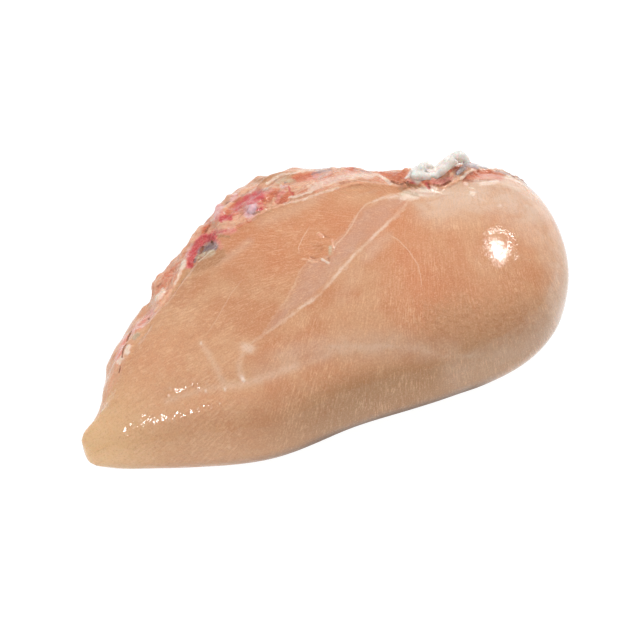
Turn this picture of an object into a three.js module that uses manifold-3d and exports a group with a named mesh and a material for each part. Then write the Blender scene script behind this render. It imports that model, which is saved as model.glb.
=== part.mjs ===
// A skinless, boneless half chicken breast, lying with the side that the skin covered up.
//
// The frame is in millimetres, +Z up, with the table at z = 0. The breast lies along X: its thin tip is at
// -X and its thick, round wing end at +X. -Y is the near flank, a tall smooth wall, and +Y the far side,
// where the muscle was cut from the bone and its ragged trimmings show. The origin is at the bottom centre
// of the bounding box.
//
// The muscle is one loft. Its sections stand across X, and each is four super-elliptic quarters that share
// a crown line above and lie flat on the table below. Relief moves the loft's points along their normals.
// What is lumpy or folded, such as the trimmings and the tendon's curl, is fused on, so that the whole
// breast is one solid.

import * as THREE from "three";
import { ImprovedNoise } from "three/addons/math/ImprovedNoise.js";
import { mergeVertices } from "three/addons/utils/BufferGeometryUtils.js";
import Module from "manifold-3d";

const { lerp, clamp, smoothstep, degToRad, radToDeg, seededRandom } = THREE.MathUtils;

// ---------------------------------------------------------------- driving dimensions

const LENGTH = 168; // from the tip to the wing end
const FOOT_SHARE = 0.1; // share of the waist's height that has settled flat on the table

// What the sections are at some shares of the loft's run: the spine is the y of the crown line, near and
// far are the half widths on its two sides, crown is the height of the top, and the waists are the heights
// at which the two sides are widest. Rim is the angle round the section, in degrees up from +Y, at which
// the smooth top ends and the cut far side begins.
const STATIONS = [
  { at: 0.0, spine: -9.7, near: 10, far: 13.5, crown: 13, nearWaist: 5, farWaist: 5, rim: 40 },
  { at: 0.07, spine: -8.7, near: 12.5, far: 17, crown: 16, nearWaist: 7, farWaist: 5, rim: 42 },
  { at: 0.15, spine: -10.2, near: 16.5, far: 21, crown: 21.5, nearWaist: 9, farWaist: 6, rim: 46 },
  { at: 0.24, spine: -9.7, near: 26, far: 36, crown: 28, nearWaist: 11, farWaist: 7, rim: 56 },
  { at: 0.34, spine: -13.7, near: 30.5, far: 48.5, crown: 34, nearWaist: 14, farWaist: 8, rim: 45 },
  { at: 0.45, spine: -10.2, near: 36.5, far: 58.5, crown: 39, nearWaist: 16, farWaist: 9, rim: 53 },
  { at: 0.56, spine: -10.2, near: 44.5, far: 66.5, crown: 42.5, nearWaist: 18, farWaist: 9, rim: 64 },
  { at: 0.67, spine: -18.2, near: 42.5, far: 62, crown: 44.5, nearWaist: 19, farWaist: 10, rim: 72 },
  { at: 0.78, spine: -15.7, near: 44.5, far: 54.5, crown: 44.5, nearWaist: 19, farWaist: 11, rim: 59 },
  { at: 0.89, spine: -6.7, near: 45.5, far: 55, crown: 42, nearWaist: 18, farWaist: 13, rim: 46 },
  { at: 1.0, spine: 3.3, near: 46.5, far: 56, crown: 37, nearWaist: 16, farWaist: 16, rim: 40 },
];

// Exponents of the super-elliptic quarters: 2 is an ellipse, and more is boxier.
const QUARTERS = {
  nearTop: { across: 2.3, up: 2.5 },
  farTop: { across: 2.0, up: 2.2 },
  bottom: { across: 2.6, up: 2.8 },
};

// Relief of the muscle. A groove follows a path on the plan, as x and y.
const VALLEY = {
  // between the two lobes, under the silverskin
  path: [[50, 6], [45, 0], [37, -4], [27, -7], [16, -10.5], [5, -14.5], [-10, -19], [-26, -20.5]],
  depth: 2.4,
  endDepth: 0.3,
  width: 9,
};
const SEAM = {
  // where the top folds over into the near flank
  path: [[-61, -17.5], [-49, -24], [-37.5, -30.5], [-20.5, -35.5], [-4.5, -42], [8, -48.5], [20, -53]],
  depth: 0.9,
  endDepth: 0.5,
  width: 3,
};
const RIM = { drop: 1.5, width: 5 }; // the step down to the cut side, in mm and in degrees
const CRAGS = { height: 1.5, wave: 8, stretch: 1.9, fineHeight: 0.7, fineWave: 5 }; // the cut side's folds
const SWELLS = { height: 0.55, wave: 34 }; // the smooth side's faint unevenness
const FOOT_CLEAR = { from: 1.5, to: 9 }; // heights between which relief fades in above the table

// Ring points round a section: up to each angle, in how many steps. The cut side has the most.
const RING_SPANS = [
  { to: 76, steps: 29 },
  { to: 180, steps: 21 },
  { to: 240, steps: 9 },
  { to: 300, steps: 3 },
  { to: 360, steps: 14 },
];
const STATION_STEPS = 62;

// Trimmings on the cut side, at a share of the run and an angle round the section: reach is along the
// loft, across is round it, and proud is how far they stand out of it, all in mm.
const TRIMMINGS = [
  { name: "fat between the nubs", at: 0.456, angle: 48, reach: 6, across: 4, proud: 1.6 },
  { name: "lip over the pocket", at: 0.425, angle: 35, reach: 11, across: 3.4, proud: 2 },
  { name: "lip below the pocket", at: 0.386, angle: 36, reach: 7, across: 3.4, proud: 1.6 },
  { name: "flesh scrap at the edge", at: 0.353, angle: 27, reach: 3.6, across: 4, proud: 3.4 },
  { name: "fat scrap at the edge", at: 0.332, angle: 33, reach: 3.2, across: 3.6, proud: 2.4 },
  { name: "red muscle", at: 0.51, angle: 49, reach: 9, across: 5, proud: 1.5 },
  { name: "fat above the red muscle", at: 0.555, angle: 57, reach: 10, across: 4, proud: 1.8 },
  { name: "muscle end", at: 0.548, angle: 45, reach: 9, across: 5, proud: 1.8 },
  { name: "fatty strip", at: 0.607, angle: 58, reach: 13, across: 4, proud: 2.2 },
  { name: "muscle behind the strip", at: 0.615, angle: 47, reach: 8, across: 4.4, proud: 2.2 },
  { name: "muscle beside the tendon", at: 0.655, angle: 54, reach: 9, across: 5, proud: 2.2 },
  { name: "flesh under the tendon's left bend", at: 0.675, angle: 62, reach: 9, across: 6, proud: 4 },
  { name: "flesh under the tendon's right bend", at: 0.74, angle: 58, reach: 10, across: 6.5, proud: 5.2 },
  { name: "shoulder muscle", at: 0.797, angle: 53, reach: 10, across: 6, proud: 2.2 },
  { name: "membrane fold near the tip", at: 0.243, angle: 46, reach: 11, across: 3.4, proud: 1.4 },
  { name: "membrane fold at the tip", at: 0.195, angle: 42, reach: 7, across: 3.4, proud: 1 },
];

// More of them along the rest of the cut side, drawn at random from one seed.
const SCRAPS = {
  seed: 41,
  count: 16,
  from: 0.22,
  to: 0.92,
  low: 4,
  high: 34,
  reach: [6, 13],
  across: [3, 5],
  proud: 2,
};

// Cartilage nubs left from the breastbone, rounded, on the cut side.
const NUBS = [
  { name: "upper nub", at: 0.489, angle: 52.5, reach: 3.4, across: 3, proud: 1.8 },
  { name: "lower nub", at: 0.463, angle: 41, reach: 4.4, across: 3.2, proud: 1.4 },
];

// The wing joint's tendon: a white strand that curls up out of the notch. Points are x, y, z and radius.
const TENDON = [
  [36.5, 4.5, 39.8, 1.6],
  [41, 5.5, 41.2, 2.3],
  [46.5, 8, 40.6, 2.4],
  [50, 8, 38.4, 2.1],
  [53.5, 7, 38, 2.1],
  [57, 7.5, 39.3, 2.4],
  [61, 8, 38.7, 2.4],
  [65, 7, 35.4, 1.9],
  [70, 5.5, 31.5, 1.3],
];
const TENDON_STEPS = 26;
const TENDON_SIDES = 8;

// Hollows: the pocket beside the cartilage, from one place on the loft to another, and the small pit in the
// top. Width and across are over the opening, and deep is below the loft.
const POCKET = { from: { at: 0.383, angle: 45 }, to: { at: 0.43, angle: 46 }, width: 5, deep: 4.6 };
const PIT = { at: 0.497, angle: 85, reach: 2.6, across: 2, deep: 1.1 };

// ---------------------------------------------------------------- the loft

const COLUMNS = Object.keys(STATIONS[0]).filter((column) => column !== "at");
const stationRows = new THREE.CubicInterpolant(
  STATIONS.map((station) => station.at),
  STATIONS.flatMap((station) => COLUMNS.map((column) => station[column])),
  COLUMNS.length,
);

/** The section's sizes at share u of the loft's run. */
function sectionAt(u) {
  const row = stationRows.evaluate(u);
  return Object.fromEntries(COLUMNS.map((column, i) => [column, row[i]]));
}

/** One super-elliptic quarter's arm: a cosine raised to 2 / exponent, with its sign. */
const arm = (value, exponent) => Math.sign(value) * Math.abs(value) ** (2 / exponent);

/** The plain loft's point at share u of its run and at angle phi round the section: 0 is far, 90 deg up. */
function loftPoint(u, phi) {
  const size = sectionAt(u);
  const ends = Math.max(0, Math.sin(Math.PI * u)); // closes the loft at both ends
  const fromTip = clamp(2 * u, 0, 1); // the tip is blunter than the wing end
  const spread = ends ** (0.72 + 0.2 * fromTip);
  const swell = ends ** (0.5 + 0.15 * fromTip);

  const isFar = Math.cos(phi) >= 0;
  const isTop = Math.sin(phi) >= -1e-9;
  const quarter = !isTop ? QUARTERS.bottom : isFar ? QUARTERS.farTop : QUARTERS.nearTop;
  const across = arm(Math.cos(phi), quarter.across) * (isFar ? size.far : size.near);
  const rise = Math.abs(Math.sin(phi)) ** (2 / quarter.up);

  const endHeight = (size.nearWaist + size.farWaist) / 2; // where the loft closes
  const waist = lerp(endHeight, isFar ? size.farWaist : size.nearWaist, swell);
  const crown = lerp(endHeight, size.crown, swell);
  const foot = endHeight * (1 - Math.min(1, 1.25 * swell));
  const settled = Math.max(0, 1 - rise - FOOT_SHARE) / (1 - FOOT_SHARE);
  const z = isTop ? lerp(waist, crown, rise) : lerp(foot, waist, settled);
  return new THREE.Vector3(-0.5 * LENGTH * Math.cos(Math.PI * u), size.spine + across * spread, z);
}

/** A point with three unit vectors: along, outwards, and round, which is square to both. */
function frameOf(point, along, outwards) {
  const out = outwards.clone().projectOnPlane(along).normalize();
  return { point, along, round: along.clone().cross(out), out };
}

/** Frame on the plain loft: its point, with vectors along the run, round the section and outwards. */
function loftFrame(u, phi) {
  const step = 0.004;
  const before = Math.max(u - step, step / 2);
  const after = Math.min(u + step, 1 - step / 2);
  const along = loftPoint(after, phi).sub(loftPoint(before, phi)).normalize();
  const round = loftPoint(u, phi + step).sub(loftPoint(u, phi - step));
  return frameOf(loftPoint(u, phi), along, round.cross(along));
}

// ---------------------------------------------------------------- relief

const noiseField = new ImprovedNoise();

/** Noise in -1 to 1 at a point, with waves of the given length in mm. */
const noiseAt = (point, wave, offset = 0) =>
  noiseField.noise(point.x / wave + offset, point.y / wave + offset, point.z / wave + offset);

/** Depth in mm, at a point, of a groove that follows a path on the plan and fades towards its end. */
function grooveDepth(groove, point) {
  const flat = new THREE.Vector3(point.x, point.y, 0);
  const nearest = new THREE.Vector3();
  const span = new THREE.Line3();
  const count = groove.path.length - 1;
  let distance = Infinity;
  let share = 0;
  for (let i = 0; i < count; i++) {
    span.start.set(...groove.path[i], 0);
    span.end.set(...groove.path[i + 1], 0);
    const along = span.closestPointToPointParameter(flat, true);
    const gap = span.at(along, nearest).distanceTo(flat);
    if (gap < distance) {
      distance = gap;
      share = (i + along) / count;
    }
  }
  return lerp(groove.depth, groove.endDepth, share) * Math.exp(-((distance / groove.width) ** 2));
}

/** The scraps' places and sizes, drawn from the seed. */
function scraps() {
  seededRandom(SCRAPS.seed);
  const draw = (from, to) => lerp(from, to, seededRandom());
  return Array.from({ length: SCRAPS.count }, (_, i) => ({
    at: lerp(SCRAPS.from, SCRAPS.to, (i + draw(0, 1)) / SCRAPS.count),
    angle: draw(SCRAPS.low, SCRAPS.high),
    reach: draw(...SCRAPS.reach),
    across: draw(...SCRAPS.across),
    proud: SCRAPS.proud * draw(0.5, 1),
  }));
}

const bumps = [...TRIMMINGS, ...scraps()].map((bump) => ({
  ...bump,
  frame: loftFrame(bump.at, degToRad(bump.angle)),
}));
const offset = new THREE.Vector3();

/** Height in mm of the trimmings at a point of the loft: the highest one counts. */
function trimmingHeight(point) {
  return bumps.reduce((highest, { frame, reach, across, proud }) => {
    offset.subVectors(point, frame.point);
    const away = Math.hypot(offset.dot(frame.along) / reach, offset.dot(frame.round) / across);
    return Math.max(highest, proud * Math.exp(-(away ** 4)));
  }, 0);
}

/** Height in mm of the torn surface's folds, which run along the loft. */
function cragHeight(point) {
  const stretched = point.clone();
  stretched.x /= CRAGS.stretch;
  const fold = 1 - 3 * Math.abs(noiseAt(stretched, CRAGS.wave)); // sharp ridges, round hollows
  return CRAGS.height * fold + CRAGS.fineHeight * noiseAt(stretched, CRAGS.fineWave, 7);
}

/** How far relief moves the loft's point outwards, in mm. */
function reliefAt(u, phi, frame) {
  const { point, out } = frame;
  const degrees = radToDeg(phi);
  const angle = degrees > 270 ? degrees - 360 : degrees;
  const rim = sectionAt(u).rim;
  const cut = smoothstep(rim - angle, -RIM.width / 2, RIM.width / 2); // 1 on the cut side
  const ends = Math.sin(Math.PI * u) ** 0.5;
  const facing = smoothstep(out.z, 0, 0.5);

  const torn = cragHeight(point) + trimmingHeight(point) - RIM.drop;
  const swells = SWELLS.height * noiseAt(point, SWELLS.wave, 3);
  const grooves = facing * grooveDepth(VALLEY, point) + grooveDepth(SEAM, point);
  const lifted = smoothstep(point.z, FOOT_CLEAR.from, FOOT_CLEAR.to);
  return lifted * ends * lerp(swells - grooves, torn, cut);
}

/** Angles round a section, in radians. */
function ringAngles() {
  const angles = [];
  let from = 0;
  for (const { to, steps } of RING_SPANS) {
    for (let j = 0; j < steps; j++) angles.push(degToRad(lerp(from, to, j / steps)));
    from = to;
  }
  return angles;
}

// ---------------------------------------------------------------- closed meshes

/** A closed skin over rings of points, with a pole at each end, facing outwards. */
function skin(rings, firstPole, lastPole) {
  const count = rings[0].length;
  const last = rings.length * count + 1;
  const index = [];
  for (let j = 0; j < count; j++) {
    const k = (j + 1) % count;
    index.push(0, 1 + k, 1 + j);
    index.push(last, last - count + j, last - count + k);
    for (let i = 0; i < rings.length - 1; i++) {
      const a = 1 + i * count;
      const b = a + count;
      index.push(a + j, a + k, b + j, b + j, a + k, b + k);
    }
  }
  const geometry = new THREE.BufferGeometry().setFromPoints([firstPole, ...rings.flat(), lastPole]);
  geometry.setIndex(index);
  return geometry;
}

/** The muscle: the loft with its relief. */
function muscle() {
  const angles = ringAngles();
  const rings = [];
  for (let i = 1; i < STATION_STEPS; i++) {
    const t = i / STATION_STEPS;
    const u = lerp(t, Math.acos(1 - 2 * t) / Math.PI, 0.6); // evens out the spacing along X
    rings.push(
      angles.map((phi) => {
        const frame = loftFrame(u, phi);
        return frame.point.addScaledVector(frame.out, reliefAt(u, phi, frame));
      }),
    );
  }
  return skin(rings, loftPoint(0, 0), loftPoint(1, 0));
}

/** A tapering strand with round ends through points given as x, y, z and radius. */
function strand(knots, steps, sides) {
  const curve = new THREE.CatmullRomCurve3(knots.map(([x, y, z]) => new THREE.Vector3(x, y, z)));
  const { normals, binormals } = curve.computeFrenetFrames(steps, false);
  const rings = [];
  for (let i = 1; i < steps; i++) {
    const t = i / steps;
    const knot = curve.getUtoTmapping(t) * (knots.length - 1);
    const k = Math.min(Math.floor(knot), knots.length - 2);
    const radius = lerp(knots[k][3], knots[k + 1][3], knot - k) * Math.sin(Math.PI * t) ** 0.3;
    const centre = curve.getPointAt(t);
    rings.push(
      Array.from({ length: sides }, (_, j) => {
        const turn = (2 * Math.PI * j) / sides;
        return centre
          .clone()
          .addScaledVector(normals[i], radius * Math.cos(turn))
          .addScaledVector(binormals[i], radius * Math.sin(turn));
      }),
    );
  }
  return skin(rings, curve.getPointAt(0), curve.getPointAt(1));
}

/** An uneven ellipsoid, of half sizes reach along its frame, across round it and deep outwards. */
function lump(frame, { reach, across, deep }, detail = 2, unevenness = 0.16) {
  const geometry = new THREE.IcosahedronGeometry(1, detail);
  geometry.deleteAttribute("normal");
  geometry.deleteAttribute("uv");
  const merged = mergeVertices(geometry);
  const position = merged.getAttribute("position");
  const p = new THREE.Vector3();
  for (let i = 0; i < position.count; i++) {
    p.fromBufferAttribute(position, i);
    p.multiplyScalar(1 + unevenness * noiseAt(p.clone().add(frame.point), 1.1));
    const moved = frame.point
      .clone()
      .addScaledVector(frame.round, p.x * across)
      .addScaledVector(frame.along, p.y * reach)
      .addScaledVector(frame.out, p.z * deep);
    position.setXYZ(i, moved.x, moved.y, moved.z);
  }
  return merged;
}

/** A cartilage nub: a lump on the cut side that stands proud of the loft and is rooted below the cut. */
function nub({ at, angle, reach, across, proud }) {
  const frame = loftFrame(at, degToRad(angle));
  const deep = proud + 1.5 * RIM.drop;
  frame.point.addScaledVector(frame.out, proud - deep);
  return lump(frame, { reach, across, deep });
}

// ---------------------------------------------------------------- fusing

const wasm = await Module();
wasm.setup();

/** A closed geometry as a solid. */
function solid(geometry) {
  return new wasm.Manifold(
    new wasm.Mesh({
      numProp: 3,
      vertProperties: new Float32Array(geometry.getAttribute("position").array),
      triVerts: new Uint32Array(geometry.getIndex().array),
    }),
  );
}

/** A solid as a geometry. */
function geometryOf(body) {
  const { vertProperties, triVerts } = body.getMesh();
  const geometry = new THREE.BufferGeometry();
  geometry.setAttribute("position", new THREE.BufferAttribute(vertProperties, 3));
  geometry.setIndex(new THREE.BufferAttribute(triVerts, 1));
  return geometry;
}

/** The pocket: a long hollow from one place on the loft to another, open outwards. */
function pocket() {
  const [from, to] = [POCKET.from, POCKET.to].map(({ at, angle }) => loftFrame(at, degToRad(angle)));
  const run = to.point.clone().sub(from.point);
  const frame = frameOf(from.point.clone().lerp(to.point, 0.5), run.clone().normalize(), from.out);
  return lump(frame, { reach: run.length() / 2, across: POCKET.width / 2, deep: POCKET.deep });
}

/** The pit in the top. */
function pit() {
  return lump(loftFrame(PIT.at, degToRad(PIT.angle)), PIT);
}

function breastGeometry() {
  let body = solid(muscle());
  for (const part of NUBS) body = body.add(solid(nub(part)));
  body = body.add(solid(strand(TENDON, TENDON_STEPS, TENDON_SIDES)));
  for (const hollow of [pocket(), pit()]) body = body.subtract(solid(hollow));

  const geometry = geometryOf(body);
  geometry.computeBoundingBox();
  const { min, max } = geometry.boundingBox;
  return geometry.translate(-(min.x + max.x) / 2, -(min.y + max.y) / 2, -min.z);
}

// ---------------------------------------------------------------- the breast

const rawFlesh = new THREE.MeshStandardMaterial({ color: 0xd49a74, roughness: 0.38, metalness: 0 });
const breast = new THREE.Mesh(breastGeometry(), rawFlesh);
breast.name = "breast";

const chickenBreast = new THREE.Group();
chickenBreast.add(breast);

export default chickenBreast;
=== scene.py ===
"""Looks of a raw, skinless, boneless half chicken breast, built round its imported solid.

The solid gives the size, the place and the main form. This script gives the muscle a finer surface, with
its fibres, silverskin, fat lines and torn side, and adds the tendon, its film and a cartilage nub.
Lengths are in metres, in the solid's own frame: +X to the thick wing end, +Y to the cut far side.

A feature that the photograph shows is placed by its pixels, x and y from the top left of a picture of
640 by 640, along the camera's ray onto the muscle, so it lies on the muscle from every side.
"""

import logging
import math
from dataclasses import dataclass
from enum import Enum

import bpy
import numpy as np
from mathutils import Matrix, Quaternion, Vector, noise
from mathutils.bvhtree import BVHTree


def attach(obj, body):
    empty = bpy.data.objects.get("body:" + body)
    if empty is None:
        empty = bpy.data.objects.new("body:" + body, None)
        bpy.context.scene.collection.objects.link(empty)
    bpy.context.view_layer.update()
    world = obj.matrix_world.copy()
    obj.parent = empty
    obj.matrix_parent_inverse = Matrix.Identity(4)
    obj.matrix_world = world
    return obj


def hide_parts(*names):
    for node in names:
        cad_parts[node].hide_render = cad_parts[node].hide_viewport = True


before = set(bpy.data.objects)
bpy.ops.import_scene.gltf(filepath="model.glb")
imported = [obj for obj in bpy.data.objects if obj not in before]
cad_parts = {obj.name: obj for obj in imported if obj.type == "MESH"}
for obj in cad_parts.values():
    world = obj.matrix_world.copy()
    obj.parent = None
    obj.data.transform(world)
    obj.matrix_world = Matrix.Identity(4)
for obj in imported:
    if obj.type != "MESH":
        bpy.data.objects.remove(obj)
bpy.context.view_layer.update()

MM = 0.001
TINY = 1e-9
NODE = "breast"
BODY = "root"

log = logging.getLogger("breast")

Pixel = tuple[float, float]
Span = tuple[float, float]
Point = tuple[float, float, float]
Colour = tuple[float, float, float]


# ---------------------------------------------------------------- colours


def linear(red: int, green: int, blue: int) -> Colour:
    """Turns a display colour into the renderer's linear one.

    Args:
        red: Display red, 0 to 255.
        green: Display green, 0 to 255.
        blue: Display blue, 0 to 255.

    Returns:
        The linear colour.
    """
    shares = (red / 255, green / 255, blue / 255)
    return tuple(s / 12.92 if s <= 0.04045 else ((s + 0.055) / 1.055) ** 2.4 for s in shares)


def shaded(colour: Colour, share: float) -> Colour:
    """Returns a share of a colour's light."""
    return tuple(share * part for part in colour)


# ---------------------------------------------------------------- shader maths


class Wire:
    """A node's output socket, on which shader maths is written as Python expressions."""

    def __init__(self, nodes: "Nodes", socket: bpy.types.NodeSocket) -> None:
        """Keeps the nodes that the socket belongs to, and the socket."""
        self.nodes = nodes
        self.socket = socket

    def _math(self, operation: str, *values: "Wire | float") -> "Wire":
        """Adds one Math node on these values."""
        return self.nodes.node("ShaderNodeMath", {"operation": operation}, dict(enumerate(values)))

    def __add__(self, other: "Wire | float") -> "Wire":
        """Returns self + other."""
        return self._math("ADD", self, other)

    def __radd__(self, other: float) -> "Wire":
        """Returns other + self."""
        return self._math("ADD", other, self)

    def __sub__(self, other: "Wire | float") -> "Wire":
        """Returns self - other."""
        return self._math("SUBTRACT", self, other)

    def __rsub__(self, other: float) -> "Wire":
        """Returns other - self."""
        return self._math("SUBTRACT", other, self)

    def __mul__(self, other: "Wire | float") -> "Wire":
        """Returns self * other."""
        return self._math("MULTIPLY", self, other)

    def __rmul__(self, other: float) -> "Wire":
        """Returns other * self."""
        return self._math("MULTIPLY", other, self)

    def __abs__(self) -> "Wire":
        """Returns the value without its sign."""
        return self._math("ABSOLUTE", self)

    def over(self, other: "Wire | float") -> "Wire":
        """Returns the larger of the two values."""
        return self._math("MAXIMUM", self, other)

    def ramp(self, low: float, high: float) -> "Wire":
        """Returns a smooth step of the value.

        Args:
            low: The value at which the step is 0.
            high: The value at which it is 1. It may be below low, and the step then falls.

        Returns:
            The step, from 0 to 1.
        """
        settings = {"interpolation_type": "SMOOTHSTEP"}
        first, last = (low, high) if low < high else (high, low)
        start, end = (0.0, 1.0) if low < high else (1.0, 0.0)
        sockets = {"Value": self, "From Min": first, "From Max": last, "To Min": start, "To Max": end}
        return self.nodes.node("ShaderNodeMapRange", settings, sockets)


class Nodes:
    """A node tree in the making: its nodes are added by calls, and sockets take numbers or wires."""

    def __init__(self, tree: bpy.types.NodeTree) -> None:
        """Empties the tree."""
        self.tree = tree
        tree.nodes.clear()

    def node(self, kind: str, settings: dict, sockets: dict, output: str | int = 0) -> Wire:
        """Adds a node.

        Args:
            kind: The node's type.
            settings: The node's own properties, set first.
            sockets: Values or wires of its input sockets, by name or number.
            output: Which output the wire leaves from.

        Returns:
            The wire.
        """
        made = self.tree.nodes.new(kind)
        for key, value in settings.items():
            setattr(made, key, value)
        for key, value in sockets.items():
            socket = made.inputs[key]
            if isinstance(value, Wire):
                self.tree.links.new(value.socket, socket)
            elif socket.type == "RGBA" and len(value) == 3:
                socket.default_value = (*value, 1.0)
            else:
                socket.default_value = value
        return Wire(self, made.outputs[output])

    def end(self, kind: str, shader: Wire) -> None:
        """Adds the output of that type, which shows a shader."""
        self.tree.links.new(shader.socket, self.tree.nodes.new(kind).inputs["Surface"])


@dataclass(frozen=True)
class Grain:
    """A noise: its lumps in one unit, its finer octaves and their strength, and how far it is distorted."""

    scale: float
    detail: float = 2.0
    rough: float = 0.5
    bend: float = 0.0


class Paint(Nodes):
    """A material in the making."""

    def __init__(self, name: str) -> None:
        """Makes an empty material.

        Args:
            name: The material's name.
        """
        self.material = bpy.data.materials.new(name)
        self.material.use_nodes = True
        super().__init__(self.material.node_tree)

    def attribute(self, name: str) -> Wire:
        """Returns the mesh's number of that name."""
        return self.node("ShaderNodeAttribute", {"attribute_name": name}, {}, "Fac")

    def place(self) -> Wire:
        """Returns the point in the object's own coordinates, in metres."""
        return self.node("ShaderNodeTexCoord", {}, {}, "Object")

    def vector(self, x: Wire | float, y: Wire | float) -> Wire:
        """Joins two numbers into a vector."""
        return self.node("ShaderNodeCombineXYZ", {}, {0: x, 1: y})

    def noise(self, at: Wire, grain: Grain) -> Wire:
        """Adds a noise texture.

        Args:
            at: The point to read the noise at.
            grain: The noise.

        Returns:
            The noise, about 0 to 1 with its middle at a half.
        """
        sockets = {"Vector": at, "Scale": grain.scale, "Detail": grain.detail}
        sockets |= {"Roughness": grain.rough, "Distortion": grain.bend}
        return self.node("ShaderNodeTexNoise", {}, sockets)

    def mix(self, share: Wire | float, first: Wire | Colour, second: Wire | Colour) -> Wire:
        """Mixes two colours: the first where the share is 0, and the second where it is 1."""
        return self.node("ShaderNodeMix", {"data_type": "RGBA"}, {0: share, 6: first, 7: second}, 2)

    def bump(self, height: Wire, depth: float, normal: Wire | None = None) -> Wire:
        """Adds a bump.

        Args:
            height: The height, 0 to 1.
            depth: How far that is, in metres.
            normal: The bump that this one is added to, if any.

        Returns:
            The bumped normal.
        """
        sockets = {"Height": height, "Strength": 1.0, "Distance": depth}
        if normal is not None:
            sockets["Normal"] = normal
        return self.node("ShaderNodeBump", {}, sockets)

    def lift(self, share: Wire, least: float) -> Wire:
        """Returns a share drawn into the span from a least value to 1."""
        return least + share * (1 - least)

    def shader(self, sockets: dict) -> Wire:
        """Adds a Principled shader with values or wires at its sockets."""
        return self.node("ShaderNodeBsdfPrincipled", {"subsurface_method": "RANDOM_WALK"}, sockets)

    def finish(self, shader: Wire) -> bpy.types.Material:
        """Ends the material with the shader that it shows, and returns it."""
        self.end("ShaderNodeOutputMaterial", shader)
        return self.material


@dataclass(frozen=True)
class Layer:
    """A tone laid over a colour: by nothing at the span's first value, and by a share at its second."""

    tone: Colour
    span: Span
    share: float = 1.0

    def over(self, paint: Paint, value: Wire, colour: Wire | Colour, mask: Wire | float = 1.0) -> Wire:
        """Lays the tone over a colour.

        Args:
            paint: The material in the making.
            value: The value that runs through the span.
            colour: The colour below.
            mask: How much of the layer there is, 0 to 1.

        Returns:
            The colour with the layer on it.
        """
        return paint.mix(value.ramp(*self.span) * self.share * mask, colour, self.tone)


# ---------------------------------------------------------------- the photograph's camera


@dataclass(frozen=True)
class Sight:
    """The photograph's view: it turns points into pixels, and pixels into rays.

    The camera looks at aim from a distance, turned by azimuth from a look along +Y and raised by elevation.
    """

    azimuth: float = -34.0
    elevation: float = 46.0
    distance: float = 462.96 * MM
    aim: Point = (-2.28 * MM, -8.07 * MM, 15 * MM)
    lens: float = 85.0
    sensor: float = 36.0
    picture: int = 640

    def axes(self) -> tuple[Vector, Vector, Vector]:
        """Works out the camera's directions.

        Returns:
            The picture's right and up directions, and the one from the aim back to the camera.
        """
        turn, rise = math.radians(self.azimuth), math.radians(self.elevation)
        back = Vector((math.sin(turn) * math.cos(rise), -math.cos(turn) * math.cos(rise), math.sin(rise)))
        right = Vector((math.cos(turn), math.sin(turn), 0.0))
        return right, back.cross(right), back

    def eye(self) -> Vector:
        """Returns where the camera stands."""
        return Vector(self.aim) + self.axes()[2] * self.distance

    def focal(self) -> float:
        """Returns the lens's length in pixels."""
        return self.lens / self.sensor * self.picture

    def per_mm(self) -> float:
        """Returns how many pixels a millimetre has at the aim."""
        return self.focal() / self.distance * MM

    def facing(self, normals: np.ndarray) -> np.ndarray:
        """Returns how far normals, one a row, face the camera, from -1 to 1."""
        return normals @ np.array(self.axes()[2])

    def ray(self, pixel: Pixel) -> Vector:
        """Finds the direction in which a pixel looks.

        Args:
            pixel: The pixel.

        Returns:
            The direction.
        """
        right, up, back = self.axes()
        middle = self.picture / 2
        across, rise = (pixel[0] - middle) / self.focal(), (middle - pixel[1]) / self.focal()
        return (right * across + up * rise - back).normalized()

    def pixels(self, points: np.ndarray) -> np.ndarray:
        """Projects points onto the picture.

        Args:
            points: Points in metres, one a row.

        Returns:
            Their pixels, one a row.
        """
        right, up, back = (np.array(a) for a in self.axes())
        offset = points - np.array(self.eye())
        depth = -(offset @ back)
        middle = self.picture / 2
        across = middle + self.focal() * (offset @ right) / depth
        down = middle - self.focal() * (offset @ up) / depth
        return np.stack([across, down], 1)

    def on_plane(self, pixel: Pixel, through: Vector) -> Vector:
        """Finds where a pixel's ray crosses a plane that faces the camera.

        Args:
            pixel: The pixel.
            through: A point of the plane.

        Returns:
            The crossing.
        """
        back = self.axes()[2]
        ray = self.ray(pixel)
        return self.eye() + ray * ((through - self.eye()).dot(back) / ray.dot(back))


# ---------------------------------------------------------------- studio


@dataclass(frozen=True)
class Lamp:
    """A soft elliptic lamp: the way to it, its two widths in metres, its power in watts and its turn about
    that way in degrees.
    """

    name: str
    towards: Point
    size: tuple[float, float]
    power: float
    spin: float = 0.0
    aim: Point = (30 * MM, -20 * MM, 30 * MM)
    distance: float = 1.0

    def build(self) -> None:
        """Adds the lamp."""
        data = bpy.data.lights.new(self.name, "AREA")
        data.shape = "ELLIPSE"
        data.size, data.size_y = self.size
        data.energy = self.power
        lamp = bpy.data.objects.new(self.name, data)
        bpy.context.scene.collection.objects.link(lamp)
        direction = Vector(self.towards).normalized()
        lamp.location = Vector(self.aim) + direction * self.distance
        lamp.rotation_mode = "QUATERNION"
        turn = Quaternion((0.0, 0.0, 1.0), math.radians(self.spin))
        lamp.rotation_quaternion = direction.to_track_quat("Z", "Y") @ turn


TOWARDS_KEY = (0.625, 0.19, 0.757)
TOWARDS_FILL = (-0.73, 0.02, 0.683)


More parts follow.
